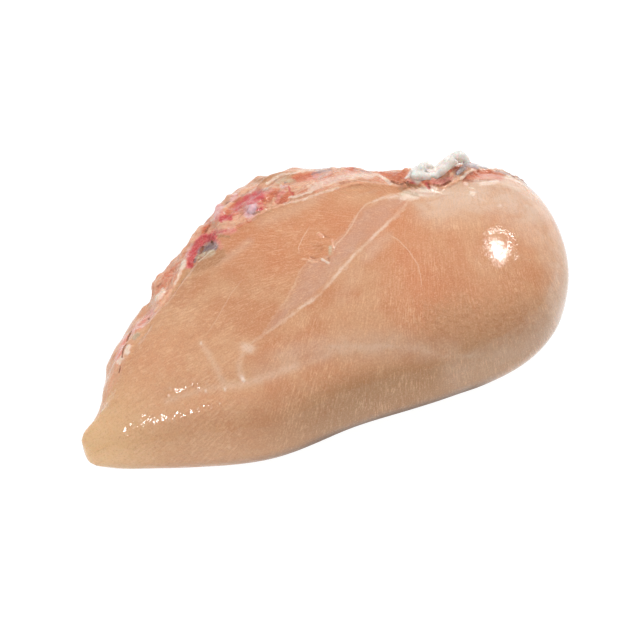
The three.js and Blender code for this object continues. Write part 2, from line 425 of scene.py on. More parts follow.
@dataclass(frozen=True)
class Studio:
    """Camera, world, floor and lamps: a white table in a white room, lit from the right and the left.

    The long key lamp makes the wet spot on the lobe, the small lamps make the sparks, and the wide ones
    light the meat softly.
    """

    sight: Sight
    white: Colour = (1.0, 1.0, 1.0)
    floor_size: float = 6.0
    floor_colour: Colour = (0.15, 0.15, 0.15)
    floor_grain: Grain = Grain(3.0)
    floor_second: float = 0.99
    floor_rough: float = 0.7
    floor_glow: float = 0.96
    world_strength: Span = (0.3, 0.78)
    world_heights: Span = (0.0, 0.9)
    lamps: tuple[Lamp, ...] = (
        Lamp("key lamp", TOWARDS_KEY, (0.085, 0.3), 4.0, 44.0),
        Lamp("spark lamp", TOWARDS_KEY, (0.02, 0.02), 0.8),
        Lamp("fill lamp", TOWARDS_FILL, (0.06, 0.06), 1.5),
        Lamp("soft key lamp", TOWARDS_KEY, (1.2, 1.2), 0.6),
        Lamp("soft fill lamp", TOWARDS_FILL, (1.2, 1.2), 0.7),
    )

    def build(self) -> None:
        """Makes the camera first, then the world, the floor and the lamps."""
        self._camera()
        self._world()
        self._floor()
        for lamp in self.lamps:
            lamp.build()
        bpy.context.scene.view_settings.view_transform = "Standard"

    def _camera(self) -> None:
        """Adds the camera at the photograph's place."""
        data = bpy.data.cameras.new("camera")
        data.lens = self.sight.lens
        data.sensor_width = self.sight.sensor
        camera = bpy.data.objects.new("camera", data)
        bpy.context.scene.collection.objects.link(camera)
        camera.location = self.sight.eye()
        camera.rotation_mode = "QUATERNION"
        camera.rotation_quaternion = (-self.sight.axes()[2]).to_track_quat("-Z", "Y")
        bpy.context.scene.camera = camera

    def _world(self) -> None:
        """Makes a soft white world, brighter overhead than at the sides."""
        world = bpy.data.worlds.new("studio")
        world.use_nodes = True
        nodes = Nodes(world.node_tree)
        towards = nodes.node("ShaderNodeTexCoord", {}, {}, "Generated")
        height = nodes.node("ShaderNodeSeparateXYZ", {}, {0: towards}, "Z")
        low, high = self.world_heights
        least, most = self.world_strength
        sockets = {"Value": height, "From Min": low, "From Max": high, "To Min": least, "To Max": most}
        strength = nodes.node("ShaderNodeMapRange", {}, sockets)
        shade = nodes.node("ShaderNodeBackground", {}, {"Color": self.white, "Strength": strength})
        nodes.end("ShaderNodeOutputWorld", shade)
        bpy.context.scene.world = world

    def _floor(self) -> None:
        """Adds the table's surface."""
        bpy.ops.object.select_all(action="DESELECT")
        bpy.ops.mesh.primitive_plane_add(size=self.floor_size, location=(0, 0, 0))
        floor = bpy.context.object
        floor.name = "floor"
        paint = Paint("pale table")
        grain = paint.noise(paint.place(), self.floor_grain)
        tone = paint.mix(grain, self.floor_colour, shaded(self.floor_colour, self.floor_second))
        glow = {"Emission Color": self.white, "Emission Strength": self.floor_glow}
        shader = paint.shader({"Base Color": tone, "Roughness": self.floor_rough, **glow})
        floor.data.materials.append(paint.finish(shader))


# ---------------------------------------------------------------- places on the muscle


class Tint(Enum):
    """What a stroke is made of, and the shade and sheen that some paint. The value names the mesh's number.
    """

    BLOOD = "blood"
    GREY = "grey_film"
    LILAC = "lilac"
    MEAT = "red_meat"
    FAT = "fat"
    MEMBRANE = "membrane"
    # Painted shade in cracks, creases, hollows and along the outline.
    SHADE = "crevice"
    ROSE = "rose"
    GRISTLE = "gristle"
    # Whitish film, and in two strokes painted sheen: along the wing end's edge and right of the wet spot.
    VEIL = "veil"
    WARM = "warm"
    # Tan muscle, and painted shade below ridges, in creases, in the notch and on the lobe's lower part.
    DUSK = "dusk"
    CRINKLE = "crinkle"


@dataclass(frozen=True)
class Stroke:
    """A patch or a line on the muscle: what it is, its tint, pixels along its middle, its half width in mm,
    how far it stands out of the muscle in mm, below 0 where it is a hollow, and how much its tint shows.
    """

    what: str
    tint: Tint
    pixels: tuple[Pixel, ...]
    half_width: float
    rise: float = 0.0
    strength: float = 1.0


# The crevice strokes paint shade, as do some tan ones; the glints and bright bits below paint highlights.
STROKES = tuple(Stroke(*row) for row in (
    # The pocket beside the cartilage.
    # Painted shade below the pocket.
    ("tan below the pocket", Tint.DUSK, ((196, 267), (204, 263), (213, 261), (221, 254)), 1.7, 0.0, 0.9),
    ("clot in the pocket", Tint.BLOOD,
     ((213, 237.5), (206.8, 238), (201, 242), (196.5, 247.5), (193, 253)), 1.25, -0.35),
    ("its lower end", Tint.BLOOD, ((193, 253), (191.2, 259), (190.5, 265)), 1.1, -0.3),
    # A raised lip whose light rosy tone is partly a painted highlight.
    ("bright lip over it", Tint.ROSE,
     ((194, 244), (198.4, 238.7), (204.5, 234.3), (211, 235), (216.4, 238.3)), 0.35, 0.4, 0.9),
    ("mauve in the pocket", Tint.GREY, ((207, 244.5), (213, 243.5)), 0.9, -0.2, 0.6),
    ("dark film in the pocket", Tint.GREY, ((201, 252), (206, 248.5), (214, 246.5)), 1.15, -0.3),
    # Painted shade in the hole.
    ("dark hole", Tint.SHADE, ((202.5, 247.5), (200.5, 251.5)), 0.45, -0.3, 0.85),
    ("dark line along the clot", Tint.GREY, ((200.5, 252), (197, 256), (194.5, 261.5)), 0.45, -0.3, 0.85),
    ("gristle in the pocket", Tint.GRISTLE, ((199, 258.5), (204, 254.5), (212, 252.5)), 0.95, 0.15, 0.95),
    ("pale fleck in it", Tint.MEMBRANE, ((203.5, 249.5), (203.8, 252.5)), 0.35, 0.1, 0.6),
    ("green edge of the gristle", Tint.DUSK, ((199, 262), (206, 258.5), (213.5, 255.5)), 0.6, 0.1, 0.8),
    ("flush beside the pocket", Tint.ROSE, ((214, 241), (218, 241.5), (221, 247)), 0.8, 0.0, 0.6),
    ("pale skin left of the pocket", Tint.LILAC, ((191.5, 246), (189, 251), (187, 257)), 0.8, 0.3, 0.5),
    ("rosy skin left of the pocket", Tint.ROSE, ((189, 252), (187.5, 259), (186.5, 265)), 0.45, 0.1, 0.5),
    ("whitish skin below it", Tint.MEMBRANE, ((184, 262), (182, 268)), 0.9, 0.3, 0.8),
    ("lip below the clot", Tint.ROSE, ((186.5, 267.5), (190.5, 266.5)), 0.5, 0.2, 0.8),
    ("lip down to the scraps", Tint.FAT,
     ((181, 270), (177.5, 278), (172.5, 288), (164, 301), (155, 311)), 0.5, 0.2, 0.9),
    ("its whitish upper end", Tint.MEMBRANE, ((181.5, 268), (179, 275), (175, 284)), 0.5, 0.0, 0.6),
    ("orange muscle above the pocket", Tint.MEAT, ((193.5, 240), (198, 234), (203, 228.5)), 1.0, 0.3, 0.2),
    ("its dark side", Tint.MEAT, ((203.5, 232), (206.5, 227), (209, 222.5)), 0.85, 0.0),
    ("its pale side", Tint.FAT, ((190, 243), (195, 234.5), (201, 226.5)), 0.9, 0.3, 0.75),
    ("brown crease beside it", Tint.SHADE, ((204, 233.5), (208, 228), (210, 222)), 0.3, -0.3, 0.7),
    # Painted shade: a dark line along the outline, and in the crease below the rim.
    ("outline fold", Tint.SHADE, ((200.5, 222.5), (205, 221), (210.5, 217.5)), 0.3, -0.1, 0.6),
    ("crease below the rim", Tint.DUSK, ((218, 237), (222, 236.2), (229, 236.5)), 0.4, -0.1, 0.8),
    ("red skin over the crease", Tint.ROSE, ((211, 234), (217, 231), (226, 232), (234, 230)), 0.9, 0.1, 0.75),
    ("brown creases in it", Tint.BLOOD, ((212, 231.5), (218, 233), (226, 230.5)), 0.28, -0.2, 0.5),
    # Between the pocket and the upper nub.
    ("peach fat by the rim", Tint.FAT, ((219, 225), (226, 223.5), (234, 222), (243, 219)), 1.4, 0.4, 0.85),
    ("shade at its end", Tint.MEAT, ((238, 224), (243, 221.5), (248, 219)), 1.0, 0.0, 0.8),
    ("blood below the nub", Tint.BLOOD, ((221, 219.5), (225, 218), (230, 217.5)), 0.8, -0.1, 0.9),
    ("lower nub", Tint.LILAC, ((217.8, 217.5), (217.3, 212), (218.5, 207)), 1.25, 0.8, 0.5),
    ("its rosy skin", Tint.ROSE, ((217.8, 217.5), (217.3, 212), (218.5, 207)), 1.4, 0.0, 0.9),
    ("rosy right side of it", Tint.ROSE, ((222, 216), (222, 210)), 0.5, 0.3, 0.6),
    ("frilled fat", Tint.FAT, ((225.3, 209), (227.5, 206), (230.5, 203.5)), 0.55, 0.6, 0.9),
    ("dark folds of the frill", Tint.SHADE, ((226, 203.8), (229.5, 201.5)), 0.3, -0.2, 0.8),
    ("red muscle between the nubs", Tint.MEAT, ((230, 212), (235.5, 208), (242, 202.5)), 1.9, 0.1),
    ("its blood", Tint.BLOOD, ((236, 209), (242, 202)), 1.0, 0.0, 0.7),
    ("its dark fold", Tint.SHADE, ((233.5, 201.5), (238, 200)), 0.4, -0.2, 0.5),
    ("pink skin above it", Tint.ROSE, ((231.5, 199), (236, 195.5)), 0.8, 0.2, 0.8),
    ("peach below it", Tint.ROSE, ((233, 214.5), (239, 211.5), (245, 210)), 0.7, 0.3, 0.55),
    ("brown streak beside the nub", Tint.MEAT, ((240.5, 217), (243, 213.5)), 0.6, 0.0, 0.6),
    ("upper nub", Tint.LILAC, ((250, 213), (250.5, 208), (252, 204)), 1.8, 0.3, 0.95),
    ("dusk under the nub", Tint.SHADE, ((253.5, 214.5), (256.5, 213), (260, 212)), 0.4, -0.3, 0.7),
    ("blood over the upper nub", Tint.BLOOD, ((248.5, 199.5), (253, 197.5), (259, 195)), 1.6, 0.1),
    ("flush right of the blood", Tint.ROSE, ((259, 197), (264, 194.5)), 0.8, 0.0, 0.8),
    ("rays beside the nub", Tint.ROSE, ((257, 206.5), (264, 206)), 0.4, 0.1, 0.6),
    ("red between the rays", Tint.BLOOD, ((256.5, 210), (262, 209)), 0.5, -0.1, 0.75),
    ("upper ray", Tint.BLOOD, ((257.5, 203.5), (262.5, 203.8)), 0.45, -0.1, 0.75),
    ("mauve band", Tint.GREY, ((258, 192.5), (265, 190.3), (272, 188.5)), 0.75, 0.0, 0.35),
    ("flush in the band", Tint.BLOOD, ((256, 194), (263, 192)), 0.6, 0.0, 0.6),
    ("rosy edge of the band", Tint.ROSE, ((262, 194), (268, 192), (273, 189.5)), 0.5, 0.0, 0.7),
    ("white line in the band", Tint.MEMBRANE, ((255, 192), (262, 190.3), (268, 188)), 0.25, 0.2, 0.7),
    ("cream frills", Tint.FAT, ((240.5, 193), (243.5, 190), (247.5, 188.3)), 0.9, 0.5, 0.7),
    ("brown gaps in them", Tint.SHADE, ((241, 196), (245, 193.5), (249, 190.5)), 0.35, -0.3, 0.55),
    ("peach ridge", Tint.FAT, ((248, 187.3), (255, 185), (263, 186)), 1.0, 0.4, 0.5),
    ("flush on the ridge", Tint.ROSE, ((252, 187.5), (259, 187.8)), 0.6, 0.1, 0.45),
    ("tan muscle at the outline", Tint.DUSK, ((256, 182.2), (263.5, 180), (272, 177)), 1.0, 0.1, 0.75),
    ("bright ridge line", Tint.MEMBRANE,
     ((266, 184), (271.5, 180.3), (280, 175.8), (290, 173)), 0.35, 0.4, 0.85),
    ("brown below the ridge line", Tint.SHADE, ((271, 183.5), (277, 180)), 0.4, -0.2, 0.4),
    # Painted glints: tiny white dots where the wet torn side catches the lamps.
    ("first white bead", Tint.MEMBRANE, ((247, 189.2), (247.4, 189.4)), 0.3, 0.15, 0.8),
    ("second white bead", Tint.MEMBRANE, ((250.2, 192.5), (250.6, 192.7)), 0.35, 0.2),
    ("third white bead", Tint.MEMBRANE, ((256.5, 191.6), (257, 191.5)), 0.3, 0.2),
    ("fourth white bead", Tint.MEMBRANE, ((268.6, 183.3), (269.2, 183)), 0.3, 0.2),
    ("fifth white bead", Tint.MEMBRANE, ((224.1, 213), (224.5, 213)), 0.3, 0.2),
    # From the upper nub to the tendon.
    ("orange muscle", Tint.MEAT, ((264, 200.5), (270, 196.5), (276, 193)), 1.5, -0.1, 0.75),
    ("tan muscle below it", Tint.DUSK, ((264, 203), (270, 201.5)), 0.9, 0.0, 0.6),
    ("pale streak across it", Tint.FAT, ((273, 203.5), (273.5, 198)), 0.35, 0.3, 0.8),
    ("pink streak", Tint.ROSE, ((277.5, 201), (279, 195), (283, 192)), 0.6, 0.2, 0.7),
    ("right-hand orange muscle", Tint.MEAT, ((280, 202), (285.5, 198), (291, 194)), 1.15, 0.0, 0.95),
    ("dark red crease", Tint.BLOOD, ((288.8, 186.5), (290, 190.5), (292.5, 194)), 0.35, -0.3, 0.6),
    ("violet knot", Tint.LILAC, ((282, 187), (286, 186)), 0.7, 0.3, 0.6),
    ("dark fleck at the knot", Tint.GREY, ((284.5, 183), (287, 182.6)), 0.3, 0.0, 0.7),
    # A painted glint.
    ("bead at the knot", Tint.MEMBRANE, ((280.5, 185.5), (281, 185.4)), 0.3, 0.2),
    ("yellow fat", Tint.GRISTLE, ((278, 182.5), (285, 180.3), (294, 181)), 0.85, 0.3, 0.6),
    ("beige fat", Tint.FAT, ((293, 188), (302, 186), (312, 183)), 1.2, 0.3, 0.75),
    ("tan muscle behind it", Tint.DUSK, ((272, 177.5), (283, 176), (292, 174.5)), 1.0, 0.0, 0.9),
    ("meat behind it", Tint.MEAT, ((295, 178.5), (303, 177.3), (314, 175.3)), 1.2, -0.1, 0.95),
    ("rose patch", Tint.ROSE, ((308, 180.5), (316, 178)), 0.8, 0.0, 0.55),
    ("mauve patch", Tint.LILAC, ((315, 176), (322, 173.5), (329, 171.5)), 1.1, 0.0, 0.45),
    ("grey veins in it", Tint.GREY, ((312, 173.5), (320, 172), (330, 169.5)), 0.55, 0.0, 0.6),
    ("pink fat", Tint.ROSE, ((316, 185.5), (328, 181.5), (340, 178.5), (352, 176)), 1.3, 0.2, 0.7),
    ("whitish sheen on it", Tint.MEMBRANE, ((336, 180.5), (345, 178), (354, 176)), 1.1, 0.0, 0.45),
    ("whitish skin on it", Tint.MEMBRANE,
     ((310, 188), (324, 183), (340, 178), (356, 175.3), (370, 175.5)), 1.15, 0.0, 0.62),
    ("rim's bright edge", Tint.FAT,
     ((248.6, 220), (255.7, 214.6), (263.4, 211.5), (271, 207.4), (284, 205)), 0.4, 0.45, 0.95),
    ("shade under that edge", Tint.DUSK, ((253, 219), (261, 214), (270, 210)), 0.6, -0.1, 0.6),
    ("white line by the rim", Tint.MEMBRANE,
     ((284, 204), (296, 201.5), (308, 198), (320, 193.3), (338, 188)), 0.42, 0.2, 0.5),
    ("its end", Tint.FAT, ((338, 188), (352, 184), (366, 182.3)), 0.4, 0.15, 0.6),
    ("gap between the lines", Tint.DUSK, ((290, 200), (302, 196.8), (314, 192)), 0.4, -0.2, 0.6),
    ("second line", Tint.MEMBRANE, ((289, 198), (299, 195.8), (310, 192), (322, 187.5)), 0.36, 0.25, 0.65),
    ("third line", Tint.FAT, ((322, 187.3), (338, 183), (352, 180), (366, 177.6)), 0.5, 0.3, 0.9),
    ("line near the outline", Tint.MEMBRANE, ((290, 173), (302, 170.8), (314, 168.8)), 0.4, 0.3, 0.75),
    ("white membrane", Tint.MEMBRANE, ((322, 171), (332, 167.8), (344, 167)), 0.7, 0.2, 0.4),
    ("its blue-grey side", Tint.GREY, ((316, 170), (330, 166.5), (340, 165.5)), 0.5, 0.0, 0.45),
    ("meat at its end", Tint.MEAT, ((338, 164.8), (345, 165.5), (352, 168.3)), 0.75, 0.0, 0.75),
    ("grey line right of it", Tint.GREY, ((354, 168.5), (362, 170.8), (371, 172.8)), 0.35, -0.1, 0.5),
    ("salmon strip", Tint.ROSE, ((345, 171.8), (356, 171.8), (370, 174.2)), 0.7, 0.1, 0.5),
    ("white edge of the strip", Tint.MEMBRANE,
     ((352, 177.3), (364, 175.3), (377, 174.8), (384, 178.2), (391, 183.8)), 0.45, 0.3, 0.8),
    # Round the tendon.
    ("orange meat before the tendon", Tint.MEAT, ((382, 175), (392, 175.5), (403.5, 176)), 1.35, 0.1, 0.75),
    ("its tan middle", Tint.DUSK, ((388, 174.5), (398, 173.5), (404, 171.5)), 0.6, 0.0, 0.5),
    ("its dark lower edge", Tint.SHADE,
     ((391, 181.5), (397, 183.5), (403, 183.8), (408, 182)), 0.3, -0.2, 0.7),
    ("rosy bits under the tendon", Tint.ROSE, ((408, 180.8), (413, 181.5), (419, 181)), 0.6, 0.2, 0.8),
    ("red flecks in them", Tint.BLOOD, ((411.5, 182.7), (414, 182.5)), 0.3, 0.0, 0.7),
    # Painted shade in the notch and along its edge.
    ("notch", Tint.DUSK, ((409.5, 185.5), (415, 187.5), (421, 187.8)), 0.8, -0.35, 0.9),
    ("notch's dark edge", Tint.SHADE, ((411, 184.5), (416, 185.5), (421, 187.3)), 0.2, -0.15, 0.35),
    ("cream edge left of it", Tint.FAT, ((404, 186), (410.2, 187.8), (416.3, 191)), 0.4, 0.2, 0.8),
    ("peach line over the notch", Tint.FAT, ((416, 182), (420.4, 183.5), (424, 186)), 0.35, 0.3, 0.9),
    ("orange beside the crevice", Tint.MEAT, ((420, 181), (425, 182.5), (430, 182)), 0.7, 0.0, 0.85),
    ("bleeding crevice", Tint.BLOOD, ((427.5, 184.5), (428.8, 187.5)), 0.6, -0.35, 0.75),
    ("dark of the crevice", Tint.SHADE, ((428.8, 184.2), (429.4, 187)), 0.3, -0.2, 0.7),
    ("band's root", Tint.MEMBRANE, ((405, 196), (413, 194.3), (421, 192.3), (432, 190)), 1.45, 0.12, 0.9),
    ("green part of the root", Tint.GRISTLE, ((401, 193.5), (409, 192.3), (418, 195)), 0.8, 0.1, 0.45),
    ("feathers of the root", Tint.MEMBRANE, ((390, 198), (399, 195.5), (409, 196)), 0.8, 0.0, 0.5),
    ("line to the root", Tint.MEMBRANE,
     ((372, 201), (380, 198.3), (391, 195.5), (401, 193.5)), 0.35, 0.1, 0.42),
    ("tail of the root", Tint.MEMBRANE, ((398, 203), (404, 200), (412, 198)), 0.5, 0.05, 0.4),
    ("pink flesh under the ridge", Tint.ROSE, ((434, 182), (441, 180.8), (448, 177.5)), 1.2, 0.0, 0.85),
    ("red line below it", Tint.SHADE,
     ((434, 185), (440, 185.8), (444.5, 184.6), (450, 182)), 0.3, -0.3, 0.85),
    ("blood in that line", Tint.BLOOD, ((442, 185), (446, 184)), 0.4, -0.1, 0.6),
    ("pale lip of the flesh", Tint.FAT,
     ((436, 186), (443.4, 188), (449, 184.6), (457, 181.3), (463, 177.5)), 0.45, 0.45, 0.95),
    ("whiter end of the lip", Tint.MEMBRANE,
     ((461, 178.6), (466.3, 174), (471.4, 170.4), (478, 168.6)), 0.4, 0.4, 0.95),
    ("tan flesh behind", Tint.FAT, ((441, 177), (448, 174.5), (454, 172.5)), 0.7, 0.0, 0.7),
    ("red muscle under the curl", Tint.MEAT, ((449.5, 170.5), (454.5, 168.3), (460, 166.3)), 0.75, 0.1),
    ("mauve film by the curl", Tint.GREY, ((466, 167), (461.5, 171), (455, 176.5)), 0.85, 0.0, 0.3),
    ("mauve flush", Tint.LILAC, ((457, 173), (461, 169.5), (465, 166.5)), 0.9, 0.0, 0.6),
    ("lobe's edge", Tint.MEMBRANE, ((478, 168.6), (487, 168.3), (497, 170), (507, 173)), 0.4, 0.3, 0.7),
    ("orange patch of the shoulder", Tint.MEAT,
     ((466, 178), (476, 175.3), (487, 174), (499, 176.3)), 1.6, 0.0, 0.7),
    ("dark lower edge of the patch", Tint.SHADE, ((480, 180), (488, 180.3), (496, 179)), 0.3, -0.1, 0.45),
    ("white lip below it", Tint.MEMBRANE, ((481, 184.5), (489, 183), (498, 182)), 0.6, 0.3, 0.85),
    ("pale bits left of it", Tint.MEMBRANE, ((464.5, 183.5), (467, 184)), 0.5, 0.15, 0.7),
    ("pale bits below them", Tint.MEMBRANE, ((469.5, 187.5), (473, 189)), 0.45, 0.15, 0.6),
    ("corner of the shoulder", Tint.MEMBRANE, ((508, 176), (514, 177.5), (520, 181)), 0.8, 0.3, 0.85),
    ("grey film over the edge", Tint.GREY,
     ((497, 171.5), (510, 174), (522, 180.5), (534, 192)), 0.55, 0.0, 0.5),
    # Painted shade along the shoulder's outline.
    ("brown outline of the shoulder", Tint.SHADE,
     ((509, 173.5), (520, 178.5), (530, 186), (537, 195)), 0.3, 0.0, 0.5),
    ("edge to the right", Tint.MEMBRANE, ((520, 184), (528, 190), (537, 199)), 0.6, 0.3, 0.5),
    # Towards the tip.
    ("meat scrap", Tint.MEAT, ((159, 290), (164, 284), (170, 275), (175, 267)), 1.3, 0.3, 0.5),
    ("dark top of the scrap", Tint.SHADE, ((157.5, 287), (161, 283.5)), 0.35, 0.0, 0.6),
    ("white scrap", Tint.MEMBRANE, ((157, 299), (160, 294.5), (163.5, 291)), 0.8, 0.4, 0.85),
    ("white flecks in it", Tint.MEMBRANE, ((160, 296), (164, 292)), 0.35, 0.2, 0.9),
    ("white knot", Tint.MEMBRANE, ((126.5, 353), (129, 347)), 0.75, 0.3, 0.8),
    ("upper white knot", Tint.GRISTLE, ((134.5, 337.5), (138, 334)), 0.6, 0.3, 0.7),
    ("lower white knot", Tint.MEMBRANE, ((118.5, 362), (122, 357.5)), 0.75, 0.3, 0.75),
    ("rosy strip", Tint.ROSE, ((127, 336), (121, 348), (117, 360)), 0.8, 0.1, 0.7),
    ("upper rosy strip", Tint.ROSE, ((153, 311), (143, 322), (133, 331)), 1.1, 0.1, 0.6),
    ("cream streak near the tip", Tint.FAT, ((117, 364), (112, 378), (108, 394)), 0.6, 0.2, 0.6),
    # Painted shade in the cracks.
    ("upper crack", Tint.SHADE, ((131.5, 331), (128.5, 337), (126.5, 341.5)), 0.2, -0.3),
    ("middle crack", Tint.SHADE, ((126.5, 344), (123, 350), (122.5, 357)), 0.2, -0.3),
    ("lower crack", Tint.SHADE, ((120.5, 366), (118.5, 373)), 0.17, -0.2, 0.9),
    ("dark dot", Tint.SHADE, ((148.5, 319), (149.5, 318.5)), 0.3, -0.2, 0.8),
    # The pit in the top.
    ("pit", Tint.WARM, ((311, 250), (317, 246), (323, 250), (320, 255)), 1.5, 0.1, 0.35),
    # Painted shade in the pit and in the fold above it.
    ("dark bottom of the pit", Tint.SHADE, ((311, 257), (315.5, 258.5)), 0.45, -0.2, 0.45),
    ("dark corner of the pit", Tint.SHADE, ((328, 258), (329.4, 260)), 0.4, -0.2, 0.4),
    ("fold above the pit", Tint.SHADE, ((323, 234), (326, 236.8), (330, 237.5)), 0.4, -0.15, 0.35),
    ("cream knot over the pit", Tint.FAT, ((318.5, 233.5), (322.3, 236)), 0.5, 0.3, 0.9),
    ("cream line right of the pit", Tint.FAT, ((332.2, 240), (333, 247.5)), 0.35, 0.2, 0.8),
    ("yellow patch right of the pit", Tint.GRISTLE, ((330.5, 247), (330, 254)), 0.55, 0.15, 0.7),
    ("cream line below the pit", Tint.FAT,
     ((302, 259), (308, 260), (311.5, 262.2), (317, 262)), 0.35, 0.25, 0.7),
    ("pink line below the pit", Tint.MEMBRANE, ((322, 259.5), (325.5, 261.3), (328.5, 263)), 0.35, 0.3, 0.8),
    ("pale bit left of the pit", Tint.FAT, ((310, 258), (311, 258.8)), 0.35, 0.15, 0.7),
    # Fine crinkles in the wet film, round the lamp's image, which leave its middle smooth.
    ("left of the wet spot", Tint.CRINKLE, ((498, 270), (489, 257), (484, 243), (484, 230)), 1.0),
    ("above the wet spot", Tint.CRINKLE, ((484, 230), (496, 226.5), (508, 228.5), (516, 236)), 0.95),
    ("right of the wet spot", Tint.CRINKLE, ((516, 236), (512, 252), (507, 262), (498, 270)), 1.0),
    ("tail of the crinkles", Tint.CRINKLE, ((514, 246), (520, 259), (531, 262)), 1.1),
    # Whitish veils on the smooth side, its redder and its darker parts, and its pale dots.
    ("shoulder veil", Tint.VEIL, ((436, 198), (462, 192), (485, 193), (512, 196), (532, 208)), 6.0),
    # Painted sheen over some whitish film: along the wing end's edge and right of the wet spot.
    ("veil at the wing end", Tint.VEIL, ((524, 206), (547, 236), (558, 270), (556, 310)), 3.4, 0.0, 0.65),
    ("veil right of the wet spot", Tint.VEIL, ((506, 214), (520, 220), (533, 234)), 3.6, 0.0, 0.5),
    ("veil below the band", Tint.VEIL, ((356, 272), (349, 284), (342, 297)), 2.4, 0.0, 0.15),
    ("veil by the band's upper end", Tint.VEIL, ((366, 256), (376, 246), (386, 238)), 2.0, 0.0, 0.4),
    ("veil above the flank", Tint.VEIL,
     ((268, 368), (300, 352), (340, 345), (400, 345), (450, 352)), 3.4, 0.0, 0.4),
    ("veil over the lobe's foot", Tint.VEIL, ((455, 372), (485, 360), (515, 340), (535, 318)), 4.0, 0.0, 0.4),
    ("stripe from the pocket", Tint.VEIL, ((217, 262), (232, 255), (250, 241)), 1.1, 0.0, 0.35),
    ("veil below the rim", Tint.VEIL, ((262, 224), (290, 211), (320, 196)), 1.6, 0.0, 0.25),
    ("warm part of the head", Tint.WARM, ((232, 232), (262, 238), (300, 236), (330, 215)), 9.0),
    ("warm part of the lobe", Tint.WARM, ((398, 226), (412, 250), (420, 290)), 8.0),
    ("warm middle of the lobe", Tint.WARM, ((440, 238), (455, 260), (470, 288)), 6.0, 0.0, 0.45),
    ("warm part below the rim", Tint.WARM, ((246, 250), (262, 252), (280, 262)), 6.0, 0.0, 0.75),
    ("warm part near the tip", Tint.WARM, ((124, 392), (140, 372), (160, 345)), 5.0, 0.0, 0.7),
    ("warm streak on the flank", Tint.WARM, ((190, 402), (215, 403), (250, 398)), 2.5, 0.0, 0.35),
    # Painted shade on the lobe's lower part.
    ("dusky part of the lobe", Tint.DUSK, ((440, 322), (470, 318), (495, 322), (520, 318)), 7.0, 0.0, 0.55),
    ("white blob on the shoulder", Tint.MEMBRANE, ((471.5, 193), (473.5, 193.6)), 0.7, 0.15, 0.8),
    ("small dot", Tint.MEMBRANE, ((499.5, 205), (500.5, 206)), 0.5, 0.1, 0.7),
    ("dot on the head", Tint.MEMBRANE, ((192.5, 262), (193.5, 262)), 0.4, 0.1, 0.6),
    # Painted highlights: small glints along the fat line, at its stem and in the crease.
    ("bright bit at the stem", Tint.MEMBRANE, ((242.7, 378.6), (243.6, 380.2)), 0.45, 0.1, 0.9),
    ("bright bit in the crease", Tint.MEMBRANE, ((224, 388.4), (225, 388.6)), 0.45, 0.1, 0.9),
    ("bright bit left of it", Tint.MEMBRANE, ((201.5, 390.8), (206, 390.8)), 0.35, 0.1, 0.6),
    ("bright bit at the faint line", Tint.MEMBRANE, ((202, 343), (203, 343.6)), 0.4, 0.1, 0.6),
))

# The rim between the smooth top and the torn side, from the tip to the wing end, as x and y in mm.
RIM_PLAN = (
    (-86, -3), (-72.5, -1), (-65.9, 1.2), (-60.4, 5.4), (-55.6, 9.7), (-50.7, 10.9), (-43.2, 14.8),
    (-38.7, 17.7), (-35.4, 20.4), (-31.3, 24.5), (-23.2, 23.6), (-18.2, 24.4), (-10.6, 22.8), (-5.4, 23),
    (1.1, 21.4), (7.6, 18), (16.1, 17.4), (22.1, 16.6), (27.8, 14.5), (34, 8.8), (38.9, 1.5), (46.1, -2.9),
    (56.1, 0.4), (62.6, 2.6), (68.8, 3.6), (75.3, -1.9), (79, -3.6), (90, -4),
)

# Spots of the smooth side with small forms: x and y in pixels and a reach in pixels.
FINE_SPOTS = ((317, 249, 19), (247, 350, 8), (243, 379, 5), (415, 195, 16), (475, 186, 17), (516, 180, 12))

# The middle line of the tendon's curl in the solid, as x, y and z in mm, from its root to its end.
TENDON_CORE = (
    (36.5, 4.5, 39.8), (41, 5.5, 41.2), (46.5, 8, 40.6), (50, 8, 38.4), (53.5, 7, 38), (57, 7.5, 39.3),
    (61, 8, 38.7), (65, 7, 35.4), (70, 5.5, 31.5),
)

# The outline of the near flank along its foot.
LOWER_EDGE = (
    (110, 468), (142, 469), (170, 468), (200, 467), (250, 463), (275, 458), (300, 450), (320, 441),
    (340, 433), (360, 426), (380, 419), (410, 410), (440, 401), (460, 394), (480, 387), (505, 376),
)

# The silverskin over the valley between the two lobes: its bright lower edge, then its upper edge back.
BAND_LOWER = (
    (430, 190), (425, 193), (409, 202), (398, 214), (386, 226), (363, 247.6), (340, 272), (320, 294.7),
    (294, 314), (274, 329), (255, 341.7),
)
BAND_UPPER = (
    (267, 326), (283, 304), (292, 288), (298, 274), (308, 261), (320, 258), (333, 253), (332, 246),
    (338, 236), (352, 223.5), (357.6, 213), (363, 206), (375, 201.7), (392, 196), (412, 190),
)

# Where the fibres of the upper head end and those of the lobe begin.
LOBE_BORDER = ((470, 120), *BAND_LOWER, (256, 360), (262, 500))


@dataclass(frozen=True)
class Fan:
    """Fibres that run together at a pixel: their name, that pixel, the way on the picture that their angles
    are counted from, and how closely they lie. Angles jump opposite that way, which is off the meat.
    """

    name: str
    centre: Pixel
    way: Pixel
    density: float


FANS = (Fan("head", (430, 225), (-1, 0), 1.0), Fan("lobe", (420, -60), (0, 1), 2.2))


@dataclass(frozen=True)
class Thread:
    """A pale line in the surface: pixels along it, its half width in mm and how strongly it shows."""

    pixels: tuple[Pixel, ...]
    half_width: float
    strength: float


